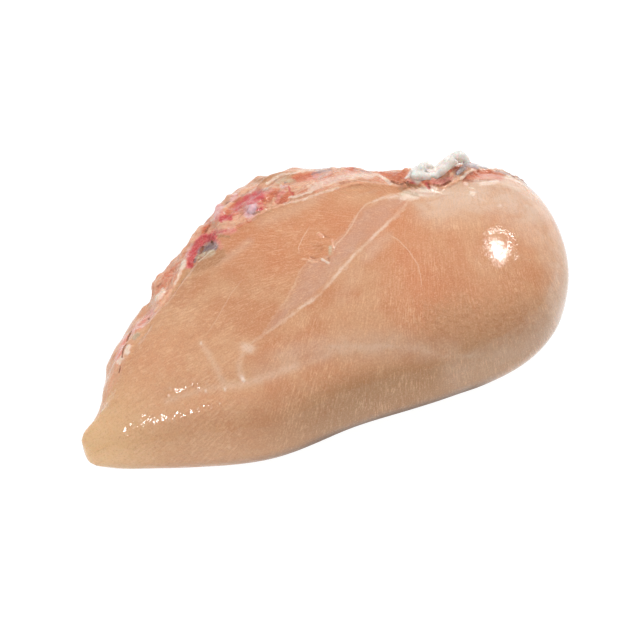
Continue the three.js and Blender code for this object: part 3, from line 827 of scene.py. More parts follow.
SOFT_THREADS = (
    Thread(((201, 343), (204, 348), (208, 353), (211, 359), (217, 368), (219, 375), (223, 382)), 0.9, 0.3),
    Thread(((222, 384), (226, 388)), 0.8, 0.35),
    # The next three threads follow the crease: partly a pale fascia line, partly painted light on the upper
    # side of its ridge.
    Thread(((224, 386), (237, 385), (247, 383), (260, 379), (284, 370), (298, 365.6)), 1.3, 0.34),
    Thread(((298, 365.6), (319, 359), (333, 353), (354, 349), (380, 348)), 0.9, 0.2),
    Thread(((166, 401), (182, 396), (201.6, 390), (213, 388), (224.5, 386.7)), 0.8, 0.26),
    Thread(((243, 354), (241, 358), (239, 366), (240.5, 374)), 0.9, 0.32),
    Thread(((241.5, 376), (243.5, 381)), 0.9, 0.7),
    Thread(((245.5, 347.5), (249.5, 348.5)), 1.55, 0.75),
    Thread(((330, 347.3), (354, 346), (382, 346), (410, 347), (428, 351.5), (444, 355.7), (474, 355.7)),
           0.6, 0.22),
)
FINE_THREADS = (
    Thread(((310.5, 224.6), (302.5, 238.4), (298.5, 247.6), (299.6, 256.8)), 0.2, 0.4),
    Thread(((244, 278), (232, 292), (217, 319), (205, 337)), 0.22, 0.22),
    Thread(((387, 234), (398, 239.6), (409, 251), (418, 265), (421, 278.6), (422, 290)), 0.2, 0.35),
    Thread(((486.6, 179.8), (506, 184.7), (526, 190)), 0.3, 0.3),
    Thread(((400, 195.5), (380, 199.5), (366, 204), (358, 213), (352, 225), (345, 235.5), (336, 244),
            (332, 256)), 0.3, 0.32),
    Thread(((438, 195), (456, 192), (474, 196), (492, 204)), 0.25, 0.25),
)


# ---------------------------------------------------------------- measures


def smooth_step(values: np.ndarray, low: float, high: float) -> np.ndarray:
    """Returns 0 up to low, 1 from high on, and a smooth rise between them."""
    share = np.clip((values - low) / (high - low), 0.0, 1.0)
    return share * share * (3 - 2 * share)


def smooth_fall(values: np.ndarray, inner: float, outer: float) -> np.ndarray:
    """Returns 1 up to inner, 0 from outer on, and a smooth fall between them."""
    return smooth_step(-values, -outer, -inner)


def lifted(share: np.ndarray, least: float) -> np.ndarray:
    """Returns a share drawn into the span from a least value to 1."""
    return least + (1 - least) * share


@dataclass
class Trace:
    """Where points lie along a route of straight stretches.

    Its fields hold a row for each point: how far it is from the route, on which side, where on the route
    the nearest place is, as a length, and the route's whole length.
    """

    away: np.ndarray
    side: np.ndarray
    along: np.ndarray
    length: float

    @classmethod
    def of(cls, points: np.ndarray, route: np.ndarray) -> "Trace":
        """Measures points against a route.

        Args:
            points: Points in two or three dimensions, one a row.
            route: The route's corners, of the same dimensions.

        Returns:
            The trace. Side is 1 to the left of the route's run in the first two dimensions, or -1.
        """
        away = np.full(len(points), np.inf)
        side = np.ones(len(points))
        along = np.zeros(len(points))
        run = 0.0
        for start, end in zip(route[:-1], route[1:]):
            step = end - start
            reach = float(np.linalg.norm(step))
            share = np.clip((points - start) @ step / reach**2, 0.0, 1.0)
            offset = points - (start + share[:, None] * step)
            distance = np.linalg.norm(offset, axis=1)
            nearer = distance < away
            turn = step[0] * offset[:, 1] - step[1] * offset[:, 0]
            away[nearer] = distance[nearer]
            side[nearer] = np.where(turn[nearer] >= 0, 1.0, -1.0)
            along[nearer] = run + share[nearer] * reach
            run += reach
        return cls(away, side, along, run)

    def in_units(self, unit: float) -> "Trace":
        """Returns the trace with its lengths in another unit."""
        return Trace(self.away / unit, self.side, self.along / unit, self.length / unit)

    def signed(self) -> np.ndarray:
        """Returns the distances, below 0 on the right of the route."""
        return self.away * self.side

    def from_ends(self) -> np.ndarray:
        """Returns how far along the route the places are from the nearer of its ends."""
        return np.minimum(self.along, self.length - self.along)


def inside(points: np.ndarray, outline: np.ndarray) -> np.ndarray:
    """Tells which points lie in a closed outline.

    Args:
        points: Points in two dimensions, one a row.
        outline: The outline's corners.

    Returns:
        True for each point inside.
    """
    crossed = np.zeros(len(points), bool)
    for (ax, ay), (bx, by) in zip(outline, np.roll(outline, -1, axis=0)):
        spans = (ay > points[:, 1]) != (by > points[:, 1])
        level = by - ay if abs(by - ay) > TINY else TINY
        crossed ^= spans & (points[:, 0] < (bx - ax) * (points[:, 1] - ay) / level + ax)
    return crossed


@dataclass(frozen=True)
class View:
    """Points as the photograph's camera sees them: their pixels, how far they face it, from -1 to 1, and how
    many pixels a millimetre has.
    """

    pixels: np.ndarray
    seen: np.ndarray
    per_mm: float
    least_seen: float = 0.1

    def trace(self, route: tuple[Pixel, ...]) -> Trace:
        """Returns how the points lie along a route of pixels, in mm on the picture."""
        return Trace.of(self.pixels, np.array(route, float)).in_units(self.per_mm)

    def shown(self) -> np.ndarray:
        """Returns which points face the camera well enough to be seen."""
        return self.seen > self.least_seen


# ---------------------------------------------------------------- meshes


class Skin:
    """A mesh object's vertices as arrays, with the numbers that they carry into the materials."""

    weight_steps: int = 10
    seed_shift: float = 7.31

    def __init__(self, piece: bpy.types.Object) -> None:
        """Reads an object's mesh.

        Args:
            piece: The object.
        """
        self.piece = piece
        self.mesh = piece.data
        self.read()

    def read(self) -> None:
        """Reads the points and the normals again, after the mesh has changed."""
        count = len(self.mesh.vertices)
        self.points = np.empty(count * 3)
        self.mesh.vertices.foreach_get("co", self.points)
        self.points = self.points.reshape(-1, 3)
        normals = np.empty(count * 3, np.float32)
        self.mesh.vertex_normals.foreach_get("vector", normals)
        self.normals = normals.reshape(-1, 3).astype(float)

    def push(self, heights: np.ndarray) -> None:
        """Moves every point along its normal, by its own height in metres."""
        self.points = self.points + self.normals * heights[:, None]
        self.write()

    def write(self) -> None:
        """Writes the points back to the mesh and reads its new normals."""
        self.mesh.vertices.foreach_set("co", self.points.ravel())
        self.mesh.update()
        self.read()

    def carry(self, name: str, values: np.ndarray) -> None:
        """Writes a number for each point, which materials read by its name."""
        self.mesh.attributes.new(name, "FLOAT", "POINT").data.foreach_set("value", values.astype(np.float32))

    def group(self, name: str, weights: np.ndarray) -> None:
        """Makes a vertex group.

        Args:
            name: The group's name.
            weights: A weight for each point, which is rounded to a tenth.
        """
        made = self.piece.vertex_groups.new(name=name)
        levels = np.round(weights * self.weight_steps)
        for level in range(1, self.weight_steps + 1):
            chosen = np.nonzero(levels == level)[0]
            made.add(chosen.tolist(), level / self.weight_steps, "REPLACE")

    def relief(self, wave: float, stretch: Point, seed: int, where: np.ndarray) -> np.ndarray:
        """Reads smooth noise at the points.

        Args:
            wave: The size of its lumps in metres.
            stretch: How much longer the lumps are along each axis.
            seed: Which noise is read.
            where: The points at which it is wanted.

        Returns:
            The noise, -1 to 1, and 0 elsewhere.
        """
        made = np.zeros(len(self.points))
        scaled = self.points[where] / (wave * np.array(stretch)) + self.seed_shift * seed
        made[where] = [noise.noise(p) for p in scaled.tolist()]
        return made


def only(piece: bpy.types.Object) -> None:
    """Selects one object alone and makes it the active one.

    Args:
        piece: The object.
    """
    bpy.ops.object.select_all(action="DESELECT")
    bpy.context.view_layer.objects.active = piece
    piece.select_set(True)


def apply_modifier(piece: bpy.types.Object, kind: str, **settings: object) -> None:
    """Adds a modifier to a piece and applies it.

    Args:
        piece: The piece.
        kind: The modifier's type.
        settings: Its properties.
    """
    only(piece)
    bpy.ops.object.modifier_add(type=kind)
    made = piece.modifiers[-1]
    for key, value in settings.items():
        setattr(made, key, value)
    bpy.ops.object.modifier_apply(modifier=made.name)


def remesh(piece: bpy.types.Object, voxel: float) -> None:
    """Gives the selected piece an even surface of faces of that size."""
    piece.data.remesh_voxel_size = voxel
    bpy.ops.object.voxel_remesh()


def place(piece: bpy.types.Object, material: bpy.types.Material) -> None:
    """Gives a finished piece its smooth shading and its material, puts it in the body and hides the solid it
    stands for.

    Args:
        piece: The piece.
        material: Its only material.
    """
    only(piece)
    bpy.ops.object.shade_smooth()
    piece.data.materials.clear()
    piece.data.materials.append(material)
    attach(piece, BODY)
    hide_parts(NODE)
    log.info("%s: %d faces", piece.name, len(piece.data.polygons))


# ---------------------------------------------------------------- muscle


@dataclass(frozen=True)
class FootShade:
    """The shade near the table, most under the near flank: spans of heights and places in metres, spans of
    distances from the flank's outline in mm on the picture, and shares.
    """

    low_height: Span = (1 * MM, 7 * MM)
    torn_span: Span = (0, 5 * MM)
    torn_cut: float = 0.5
    wing_end: Span = (56 * MM, 80 * MM)
    seen_reach: Span = (0.1, 2.5)
    hidden_reach: Span = (6, 12)
    hidden_height: Span = (10 * MM, 14 * MM)
    under_share: float = 0.78
    under_end: Span = (470, 525)
    under_rim: Span = (-3 * MM, 0)
    tip_span: Span = (-70 * MM, -20 * MM)
    tip_least: float = 0.25

    def shares(self, points: np.ndarray, rim: np.ndarray, view: View) -> np.ndarray:
        """Works out how far points lie in the shade.

        Args:
            points: The points in metres, one a row.
            rim: Their offsets from the rim, in metres.
            view: The points as the camera sees them.

        Returns:
            Shares from 0 to 1.
        """
        across, _, height = points.T
        low = smooth_fall(height, *self.low_height) * (1 - self.torn_cut * smooth_step(rim, *self.torn_span))
        low *= smooth_fall(across, *self.wing_end)
        away = view.trace(LOWER_EDGE).away
        hidden = smooth_fall(away, *self.hidden_reach) * smooth_fall(height, *self.hidden_height)
        under = self.under_share * np.where(view.seen > 0, smooth_fall(away, *self.seen_reach), hidden)
        under *= smooth_fall(view.pixels[:, 0], *self.under_end) * smooth_fall(rim, *self.under_rim)
        return np.maximum(low, under) * lifted(smooth_step(across, *self.tip_span), self.tip_least)


@dataclass
class Muscle:
    """The muscle itself, as one closed surface over the solid.

    Spans are given as the value with nothing of the thing and the value with all of it, or the other way
    round where smooth_fall takes them. Distances from the rim are above 0 on the torn side.
    """

    sight: Sight
    weld: float = 0.01 * MM
    voxel: float = 1.1 * MM
    smooth_rounds: int = 12
    smooth_factors: Span = (0.5, -0.52)
    smooth_passes: int = 5
    smooth_rim: Span = (-2 * MM, 0.5 * MM)
    torn_passes: int = 4
    torn_factor: float = 0.5
    torn_rim: Span = (-1 * MM, 1 * MM)
    split_from: float = -2.5 * MM
    split_above: float = 9 * MM
    splits: tuple[Span, ...] = ((15 * MM, -0.5), (10 * MM, 0.05))
    spot_facing: float = 0.05
    drop_from: float = 0.1
    end_height: float = 8 * MM
    middle: Pixel = (330.0, 310.0)
    steps_inwards: int = 30
    calm_until: Span = (-52 * MM, -34 * MM)
    calm_share: float = 0.15
    far_share: float = 0.7
    far_rim: Span = (9 * MM, 16 * MM)
    lip_height: float = 0.35 * MM
    lip_rim: float = 0.2 * MM
    lip_width: float = 0.7 * MM
    fold_rim: Span = (0.2 * MM, 2.2 * MM)
    fold_above: Span = (1 * MM, 6 * MM)
    fold_heights: Point = (0.75 * MM, 0.4 * MM, 0.22 * MM)
    fold_waves: Point = (4.5 * MM, 2.4 * MM, 1.3 * MM)
    fold_stretch: Point = (1.7, 1, 1)
    fold_sharpness: float = 0.7
    fold_share: float = 0.6
    groove_depth: float = 0.9 * MM
    groove_reach: Span = (3 * MM, 4.2 * MM)
    groove_from: float = 2 * MM
    draw_length: float = 1.5 * MM
    draw_reach: float = 7 * MM
    draw_above: Span = (0, 12 * MM)
    rag: float = 0.35 * MM
    rag_wave: float = 1.5 * MM
    rag_seeds: tuple[int, ...] = (11, 12, 13)
    rag_from: float = -8 * MM
    rim_skew: float = 0.6
    # Where the steep flanks get painted shade.
    flank_shade_steepness: Span = (0.25, 0.9)
    flank_shade_rim: Span = (-3 * MM, 0)
    flank_shade_tip: Span = (-55 * MM, -10 * MM)
    flank_shade_least: float = 0.3
    tip_from: Span = (58 * MM, 84 * MM)
    wet_from: Span = (25 * MM, 55 * MM)
    tint_facing: Span = (0.02, 0.12)
    tint_hidden: Span = (-0.5, -0.15)
    tint_least: float = 0.3
    strand_reach: Span = (2.3 * MM, 3.2 * MM)
    strand_ends: Span = (4 * MM, 6 * MM)
    strand_short: float = 4 * MM
    band_reach: float = 8
    border_reach: float = 6
    thread_reach: Span = (1.2, 2.5)
    thread_ends: Span = (0, 3)
    thread_limit: float = 20

    def build(self) -> bpy.types.Object:
        """Makes the muscle.

        Returns:
            The finished piece.
        """
        self.piece = self._copy_solid()
        self._refine()
        self.skin = Skin(self.piece)
        self._sculpt()
        self._mark()
        place(self.piece, Flesh().material())
        return self.piece

    def _copy_solid(self) -> bpy.types.Object:
        """Copies the solid's mesh and merges its doubles.

        Returns:
            The copy, as a piece of its own.
        """
        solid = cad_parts[NODE]
        piece = bpy.data.objects.new("muscle", solid.data.copy())
        bpy.context.scene.collection.objects.link(piece)
        only(piece)
        bpy.ops.object.mode_set(mode="EDIT")
        bpy.ops.mesh.select_all(action="SELECT")
        bpy.ops.mesh.remove_doubles(threshold=self.weld)
        bpy.ops.object.mode_set(mode="OBJECT")
        return piece

    def _rim_offset(self, points: np.ndarray) -> np.ndarray:
        """Measures how far points lie past the rim.

        Args:
            points: The points in metres, one a row.

        Returns:
            Their distances in metres, above 0 on the torn side and underneath.
        """
        plan = np.array(RIM_PLAN) * MM
        level = np.interp(points[:, 0], plan[:, 0], plan[:, 1])
        spots = np.array([self._drop(x, y) for x, y in plan])
        side = np.where(points[:, 1] > level, 1.0, -1.0)
        return Trace.of(points, spots).away * side

    def _drop(self, x: float, y: float) -> Vector:
        """Returns the point on the muscle straight below x and y, or one past its ends at a set height."""
        hit = self.tree.ray_cast(Vector((x, y, self.drop_from)), Vector((0, 0, -1)))[0]
        return hit if hit is not None else Vector((x, y, self.end_height))

    def _grow_tree(self) -> None:
        """Makes the search tree that rays are cast against."""
        self.tree = BVHTree.FromObject(self.piece, bpy.context.evaluated_depsgraph_get())

    def _refine(self) -> None:
        """Remeshes the piece evenly, smooths the facets away and gives the torn side finer faces.

        Smoothing in and back out by turns takes the facets away without making the muscle smaller. The last
        split gives the finest faces to what the photograph shows.
        """
        only(self.piece)
        remesh(self.piece, self.voxel)
        self._grow_tree()
        skin = Skin(self.piece)
        rim = self._rim_offset(skin.points)
        calm = 1 - smooth_step(skin.points[:, 0], *self.calm_until)
        skin.group("smooth side", np.maximum(smooth_fall(rim, *self.smooth_rim), calm))
        skin.group("torn side", smooth_step(rim, *self.torn_rim))
        for factor in self.smooth_factors * self.smooth_rounds:
            self._smooth("smooth side", factor, self.smooth_passes)
        self._smooth("torn side", self.torn_factor, self.torn_passes)
        for farthest, facing in self.splits:
            self._split(farthest, facing)
        self._grow_tree()

    def _smooth(self, group: str, factor: float, passes: int) -> None:
        """Smooths one vertex group, in or out."""
        apply_modifier(self.piece, "SMOOTH", factor=factor, iterations=passes, vertex_group=group)

    def _split(self, farthest: float, facing: float) -> None:
        """Subdivides the upper faces along the rim, and those at the smooth side's fine spots.

        Args:
            farthest: Where the strip of faces ends, in metres past the rim.
            facing: How far the faces have to face the photograph's camera, from -1 to 1.
        """
        mesh = self.piece.data
        centres, normals = np.empty((2, len(mesh.polygons) * 3))
        mesh.polygons.foreach_get("center", centres)
        mesh.polygons.foreach_get("normal", normals)
        centres = centres.reshape(-1, 3)
        seen = self.sight.facing(normals.reshape(-1, 3))
        rim = self._rim_offset(centres)
        chosen = (rim > self.split_from) & (rim < farthest) & (centres[:, 2] > self.split_above)
        chosen &= seen > facing
        pixels = self.sight.pixels(centres)
        for x, y, reach in FINE_SPOTS:
            chosen |= (np.linalg.norm(pixels - (x, y), axis=1) < reach) & (seen > self.spot_facing)
        only(self.piece)
        bpy.ops.object.mode_set(mode="EDIT")
        bpy.ops.mesh.select_mode(type="FACE")
        bpy.ops.mesh.select_all(action="DESELECT")
        bpy.ops.object.mode_set(mode="OBJECT")
        mesh.polygons.foreach_set("select", chosen)
        bpy.ops.object.mode_set(mode="EDIT")
        bpy.ops.mesh.subdivide(number_cuts=1)
        bpy.ops.object.mode_set(mode="OBJECT")

    def spot(self, pixel: Pixel) -> tuple[Vector, Vector]:
        """Finds the place on the muscle that a pixel shows.

        Args:
            pixel: The pixel. One just outside the muscle's outline is drawn in towards its middle.

        Returns:
            The place, and the direction straight out of the muscle there.
        """
        middle = Vector(self.middle)
        at = Vector(pixel)
        for _ in range(self.steps_inwards):
            hit, normal = self.tree.ray_cast(self.sight.eye(), self.sight.ray(at))[:2]
            if hit is not None:
                return hit, normal
            at = at + (middle - at).normalized()
        return Vector(self.sight.aim), Vector((0, 0, 1))

    def route(self, pixels: tuple[Pixel, ...], lift: float = 0.0) -> np.ndarray:
        """Returns the places that a row of pixels shows, one a row, lifted off the muscle."""
        spots = [self.spot(p) for p in pixels]
        return np.array([hit + normal * lift for hit, normal in spots])

    def _far(self, rim: np.ndarray) -> np.ndarray:
        """Returns 1 near the rim, and less on the far flank, which is calmer."""
        return 1 - self.far_share * smooth_step(rim, *self.far_rim)

    def _sculpt(self) -> None:
        """Raises the lip along the rim, folds the torn side and shapes its scraps and hollows."""
        skin = self.skin
        rim = self._rim_offset(skin.points)
        torn = smooth_step(rim, *self.fold_rim) * smooth_step(skin.points[:, 2], *self.fold_above)
        calm = lifted(smooth_step(skin.points[:, 0], *self.calm_until), self.calm_share) * self._far(rim)
        height = self.lip_height * calm * np.exp(-((rim - self.lip_rim) / self.lip_width) ** 2)
        for seed, (rise, wave) in enumerate(zip(self.fold_heights, self.fold_waves)):
            folds = np.abs(skin.relief(wave, self.fold_stretch, seed, torn > 0)) ** self.fold_sharpness
            height += torn * calm * rise * (1 - 2 * folds) * self.fold_share
        strand = self._strand()
        groove = smooth_fall(strand.away, *self.groove_reach) * (strand.along > self.groove_from)
        skin.push(height - self.groove_depth * groove)
        self._draw_tip()
        self._grow_tree()
        self._measure_strokes()
        skin.push(sum(stroke.rise * MM * share for stroke, share in zip(STROKES, self.shares)))
        self._grow_tree()

    def _strand(self) -> Trace:
        """Returns how the muscle's points lie along the tendon's curl, in metres."""
        return Trace.of(self.skin.points, np.array(TENDON_CORE) * MM)

    def _draw_tip(self) -> None:
        """Draws the tip out to the picture's left, most at its upper corner."""
        skin = self.skin
        left = -np.array(self.sight.axes()[0])
        reach = skin.points @ left
        share = smooth_step(reach, reach.max() - self.draw_reach, reach.max())
        share *= smooth_step(skin.points[:, 2], *self.draw_above)
        skin.points = skin.points + share[:, None] * left * self.draw_length
        skin.write()

    def _measure_strokes(self) -> None:
        """Works out each stroke's share at each point: 1 at its middle, a half at its ragged edge."""
        skin = self.skin
        near = self._rim_offset(skin.points) > self.rag_from
        swings = [skin.relief(self.rag_wave, (1, 1, 1), seed, near) for seed in self.rag_seeds]
        self.ragged = np.stack(swings, 1) * self.rag
        warped = skin.points + self.ragged
        self.shares = []
        for stroke in STROKES:
            log.debug("stroke of %s: %s", stroke.tint.value, stroke.what)
            trace = Trace.of(warped, self.route(stroke.pixels)).in_units(MM)
            self.shares.append(smooth_fall(trace.away, 0, 2 * stroke.half_width))

    def _mark(self) -> None:
        """Writes what the flesh's material reads: fibres, rim, silverskin, threads, shades and tints."""
        skin = self.skin
        across = skin.points[:, 0]
        rim = self._rim_offset(skin.points)
        view = View(self.sight.pixels(skin.points), self.sight.facing(skin.normals), self.sight.per_mm())
        skin.carry("past_rim", rim / MM)
        skin.carry("along_rim", (across + self.rim_skew * skin.points[:, 1]) / MM)
        self._mark_fibres(view)
        self._mark_band(view)
        self._mark_threads(view)
        # Painted shade on the steep flanks, less towards the tip.
        flank = smooth_fall(skin.normals[:, 2], *self.flank_shade_steepness) * smooth_fall(rim, *self.flank_shade_rim)
        skin.carry("flank", flank * lifted(smooth_step(across, *self.flank_shade_tip), self.flank_shade_least))
        skin.carry("tip", smooth_step(-across, *self.tip_from))
        skin.carry("wet", smooth_step(-across, *self.wet_from))
        skin.carry("foot", FootShade().shares(skin.points, rim, view))
        skin.carry("raw", smooth_step(across, *self.calm_until) * self._far(rim))
        self._mark_tints(view)
        strand = self._strand()
        ends = np.minimum(strand.along, strand.length - self.strand_short - strand.along)
        core = smooth_fall(strand.away, *self.strand_reach) * smooth_step(ends, *self.strand_ends)
        skin.carry("strand", core)

    def _mark_tints(self, view: View) -> None:
        """Writes how much of each tint there is, from the strokes measured on the muscle and on the picture.

        On faces that the camera can't see, the tints fade.

        Args:
            view: The points as the camera sees them.
        """
        ragged = View(view.pixels + self.ragged[:, :2] / MM * view.per_mm, view.seen, view.per_mm)
        facing = smooth_step(view.seen, *self.tint_facing)
        fade = lifted(smooth_step(view.seen, *self.tint_hidden), self.tint_least)
        most = {tint: np.zeros(len(facing)) for tint in Tint}
        for stroke, share in zip(STROKES, self.shares):
            shown = smooth_fall(ragged.trace(stroke.pixels).away, 0, 2 * stroke.half_width) * facing
            share = stroke.strength * np.maximum(share, shown)
            most[stroke.tint] = np.maximum(most[stroke.tint], share)
        for tint, share in most.items():
            self.skin.carry(tint.value, share * fade)

    def _mark_fibres(self, view: View) -> None:
        """Writes the fans of fibres, as an angle and a reach in mm each.

        Args:
            view: The points as the camera sees them.
        """
        for fan in FANS:
            offset = view.pixels - np.array(fan.centre)
            angle = np.arctan2(offset @ (fan.way[1], -fan.way[0]), offset @ fan.way)
            self.skin.carry(f"{fan.name}_angle", angle)
            self.skin.carry(f"{fan.name}_reach", np.linalg.norm(offset, axis=1) / view.per_mm)

    def _mark_band(self, view: View) -> None:
        """Writes how deep points are in the silverskin, how far they are from its bright lower edge, and the
        lobe's share in the fibres.

        Args:
            view: The points as the camera sees them.
        """
        outline = BAND_LOWER + BAND_UPPER
        depth = view.trace((*outline, outline[0])).away
        depth = np.where(inside(view.pixels, np.array(outline, float)) & view.shown(), depth, -depth)
        edge = view.trace(BAND_LOWER).signed()
        border = view.trace(LOBE_BORDER).signed()
        self.skin.carry("film", np.clip(depth, -self.band_reach, self.band_reach))
        self.skin.carry("film_edge", np.clip(edge, -self.band_reach, self.band_reach))
        self.skin.carry("lobe_share", smooth_fall(border, -self.border_reach, self.border_reach))

    def _mark_threads(self, view: View) -> None:
        """Writes the soft threads as one share, and the fine ones as a signed offset and a strength.

        Args:
            view: The points as the camera sees them.
        """
        soft, offset, strength = np.zeros((3, len(view.pixels)))
        for thread in SOFT_THREADS:
            glow = np.exp(-((view.trace(thread.pixels).away / thread.half_width) ** 2))
            soft = np.maximum(soft, thread.strength * glow * view.shown())
        nearest = np.full(len(view.pixels), np.inf)
        for thread in FINE_THREADS:
            trace = view.trace(thread.pixels)
            closer = trace.away < nearest
            nearest[closer] = trace.away[closer]
            offset[closer] = (trace.signed() / thread.half_width)[closer]
            fade = smooth_step(trace.from_ends(), *self.thread_ends)
            fade *= smooth_fall(trace.away, *self.thread_reach) * view.shown()
            strength[closer] = (thread.strength * fade)[closer]
        self.skin.carry("soft_thread", soft)
        self.skin.carry("fine_thread", np.clip(offset, -self.thread_limit, self.thread_limit))
        self.skin.carry("fine_strength", strength)


@dataclass(frozen=True)
class Swing:
    """A noise that swings about 0, by half its reach to each side."""

    reach: float
    grain: Grain

    def at(self, paint: Paint, point: Wire) -> Wire:
        """Returns the noise at a point."""
        return (paint.noise(point, self.grain) - 0.5) * self.reach


@dataclass(frozen=True)
class Mottle:
    """A mask of noise: its least value, how much the noise adds, and the noise's span if it has one."""

    least: float
    gain: float
    grain: Grain
    span: Span | None = None

    def at(self, paint: Paint, point: Wire) -> Wire:
        """Makes the mask.

        Args:
            paint: The material in the making.
            point: The point.

        Returns:
            The mask at that point.
        """
        value = paint.noise(point, self.grain)
        if self.span is not None:
            value = value.ramp(*self.span)
        return self.least + value * self.gain


@dataclass(frozen=True)
class Wash:
    """A tone laid over a colour by a share of a number that the mesh carries."""

    tone: Colour
    number: str
    share: float = 1.0

    def over(self, paint: Paint, colour: Wire | Colour, mask: Wire | float = 1.0) -> Wire:
        """Returns the colour with the tone on it, by how much of it the mask lets through."""
        return paint.mix(paint.attribute(self.number) * self.share * mask, colour, self.tone)


PALE_LINE = linear(232, 206, 184)
BRIGHT_STREAK = linear(232, 188, 152)
DARK_STREAK = linear(178, 116, 80)
# Painted shade near the table.
LOW_PAINTED_SHADE = linear(116, 92, 75)


@dataclass(frozen=True)
class Flesh:
    """The muscle's finish: peach flesh with fine fibres, wet, with silverskin, threads and a torn side.

    The smooth side's colour is built up by washes and layers in the order of their fields, the torn side's
    is laid over it past the rim, and the tints of the strokes come over both. Some of them paint shade: on
    the steep flanks, near the table and in cracks and creases. Others paint sheen and glints.
    """

    pale: Colour = linear(204, 154, 117)
    patches: Grain = Grain(60.0, 5.0, 0.62, 0.4)
    deep: Layer = Layer(linear(196, 136, 98), (0.36, 0.64))
    warm: Wash = Wash(linear(206, 132, 92), Tint.WARM.value, 0.7)
    warm_least: float = 0.4
    warm_gain: float = 0.9
    # Painted shade on the steep flanks, which face away from the lamps.
    flank: Wash = Wash(linear(172, 134, 98), "flank", 0.8)
    light: Wash = Wash(linear(224, 176, 138), "wet", 0.35)
    tan: Wash = Wash(linear(228, 188, 142), "tip")
    # Whitish film, and painted sheen where the veil strokes stand for it.
    veil: Wash = Wash(linear(216, 188, 168), Tint.VEIL.value)
    wisps: Mottle = Mottle(0.45, 0.5, Grain(160.0, 4.0, 0.62, 0.4), (0.3, 0.62))
    film: Layer = Layer(linear(196, 158, 142), (-0.8, 2.4), 0.9)
    film_edge: Swing = Swing(5.0, Grain(180.0, 4.0, 0.6))
    film_grain: Grain = Grain(130.0, 4.0, 0.65)
    film_border: float = 0.2
    streak: Layer = Layer(BRIGHT_STREAK, (0.5, 0.7), 0.3)
    dark_streak: Layer = Layer(DARK_STREAK, (0.46, 0.3), 0.24)
    dash: Layer = Layer(BRIGHT_STREAK, (0.53, 0.62), 0.45)
    dash_grain: Grain = Grain(90.0)
    dash_noise: float = 0.25
    upper_edge: Layer = Layer(PALE_LINE, (0.6, 0.1), 0.7)
    upper_grain: Grain = Grain(90.0, 3.0)
    upper_cut: float = 0.3
    lower_edge: Layer = Layer(PALE_LINE, (0.8, 0.1))
    lower_at: float = 0.3
    lower_swing: Swing = Swing(1.5, Grain(300.0, 4.0, 0.65))
    lower_gaps: Mottle = Mottle(0.15, 0.5, Grain(110.0, 3.0), (0.38, 0.62))
    lower_end: Span = (-1.6, -0.4)
    soft_thread: Wash = Wash(PALE_LINE, "soft_thread")
    soft_gaps: Mottle = Mottle(0.45, 1.1, Grain(300.0, 3.0, 0.6))
    fine_thread: Layer = Layer(PALE_LINE, (1.2, 0.3))
    fine_swing: Swing = Swing(1.2, Grain(350.0))

    streak_grain: Grain = Grain(1.0, 4.0, 0.68, 0.3)
    streak_wave: Span = (100.0, 0.13)
    dash_wave: Span = (150.0, 0.4)

    torn_swing: Swing = Swing(1.6, Grain(500.0))
    torn_rim: Span = (0.0, 1.4)
    torn_least: float = 0.5
    torn_pale: Colour = linear(222, 170, 142)
    torn_deep: Layer = Layer(linear(208, 134, 104), (0.4, 0.62))
    torn_patches: Grain = Grain(1.0, 4.0, 0.6, 0.3)
    torn_wave: Span = (0.24, 0.5)
    deep_least: float = 0.25
    torn_line: Layer = Layer(linear(234, 204, 184), (0.045, 0.0))
    torn_veins: Grain = Grain(1.0, 4.0, 0.6, 0.7)
    vein_wave: Span = (0.14, 0.9)
    vein_least: float = 0.1
    vein_gain: float = 0.5

    # The tan tones paint tan muscle and, in places, shade; the crevice tones paint shade.
    tints: tuple[tuple[Tint, Colour, Colour], ...] = (
        (Tint.DUSK, linear(190, 142, 106), linear(176, 124, 88)),
        (Tint.MEAT, linear(212, 124, 90), linear(192, 92, 66)),
        (Tint.ROSE, linear(230, 158, 144), linear(216, 128, 120)),
        (Tint.FAT, linear(232, 186, 154), linear(222, 162, 134)),
        (Tint.MEMBRANE, linear(240, 222, 206), linear(232, 204, 186)),
        (Tint.LILAC, linear(226, 190, 196), linear(214, 160, 164)),
        (Tint.BLOOD, linear(200, 54, 74), linear(206, 92, 98)),
        (Tint.GREY, linear(118, 104, 114), linear(158, 138, 142)),
        (Tint.GRISTLE, linear(204, 190, 166), linear(186, 160, 130)),
        (Tint.SHADE, linear(126, 70, 50), linear(160, 100, 74)),
    )
    tint_swing: Swing = Swing(0.9, Grain(600.0, 4.0, 0.65))
    tint_edge: Span = (0.12, 0.8)
    tint_start: Span = (0.0, 0.35)
    tint_share: float = 0.9
    tone_grain: Grain = Grain(1.0, 4.0, 0.6, 0.4)
    tone_wave: Span = (0.5, 1.2)
    tone_span: Span = (0.38, 0.62)

    strand: Wash = Wash(linear(246, 240, 234), "strand")
    # Painted shade near the table and under the near flank's outline.
    low: Wash = Wash(LOW_PAINTED_SHADE, "foot", 0.9)
    speckle_grain: Grain = Grain(2000.0, 3.0, 0.7)
    bright_speckle: Layer = Layer(BRIGHT_STREAK, (0.5, 0.72), 0.4)
    dark_speckle: Layer = Layer(DARK_STREAK, (0.5, 0.28), 0.4)

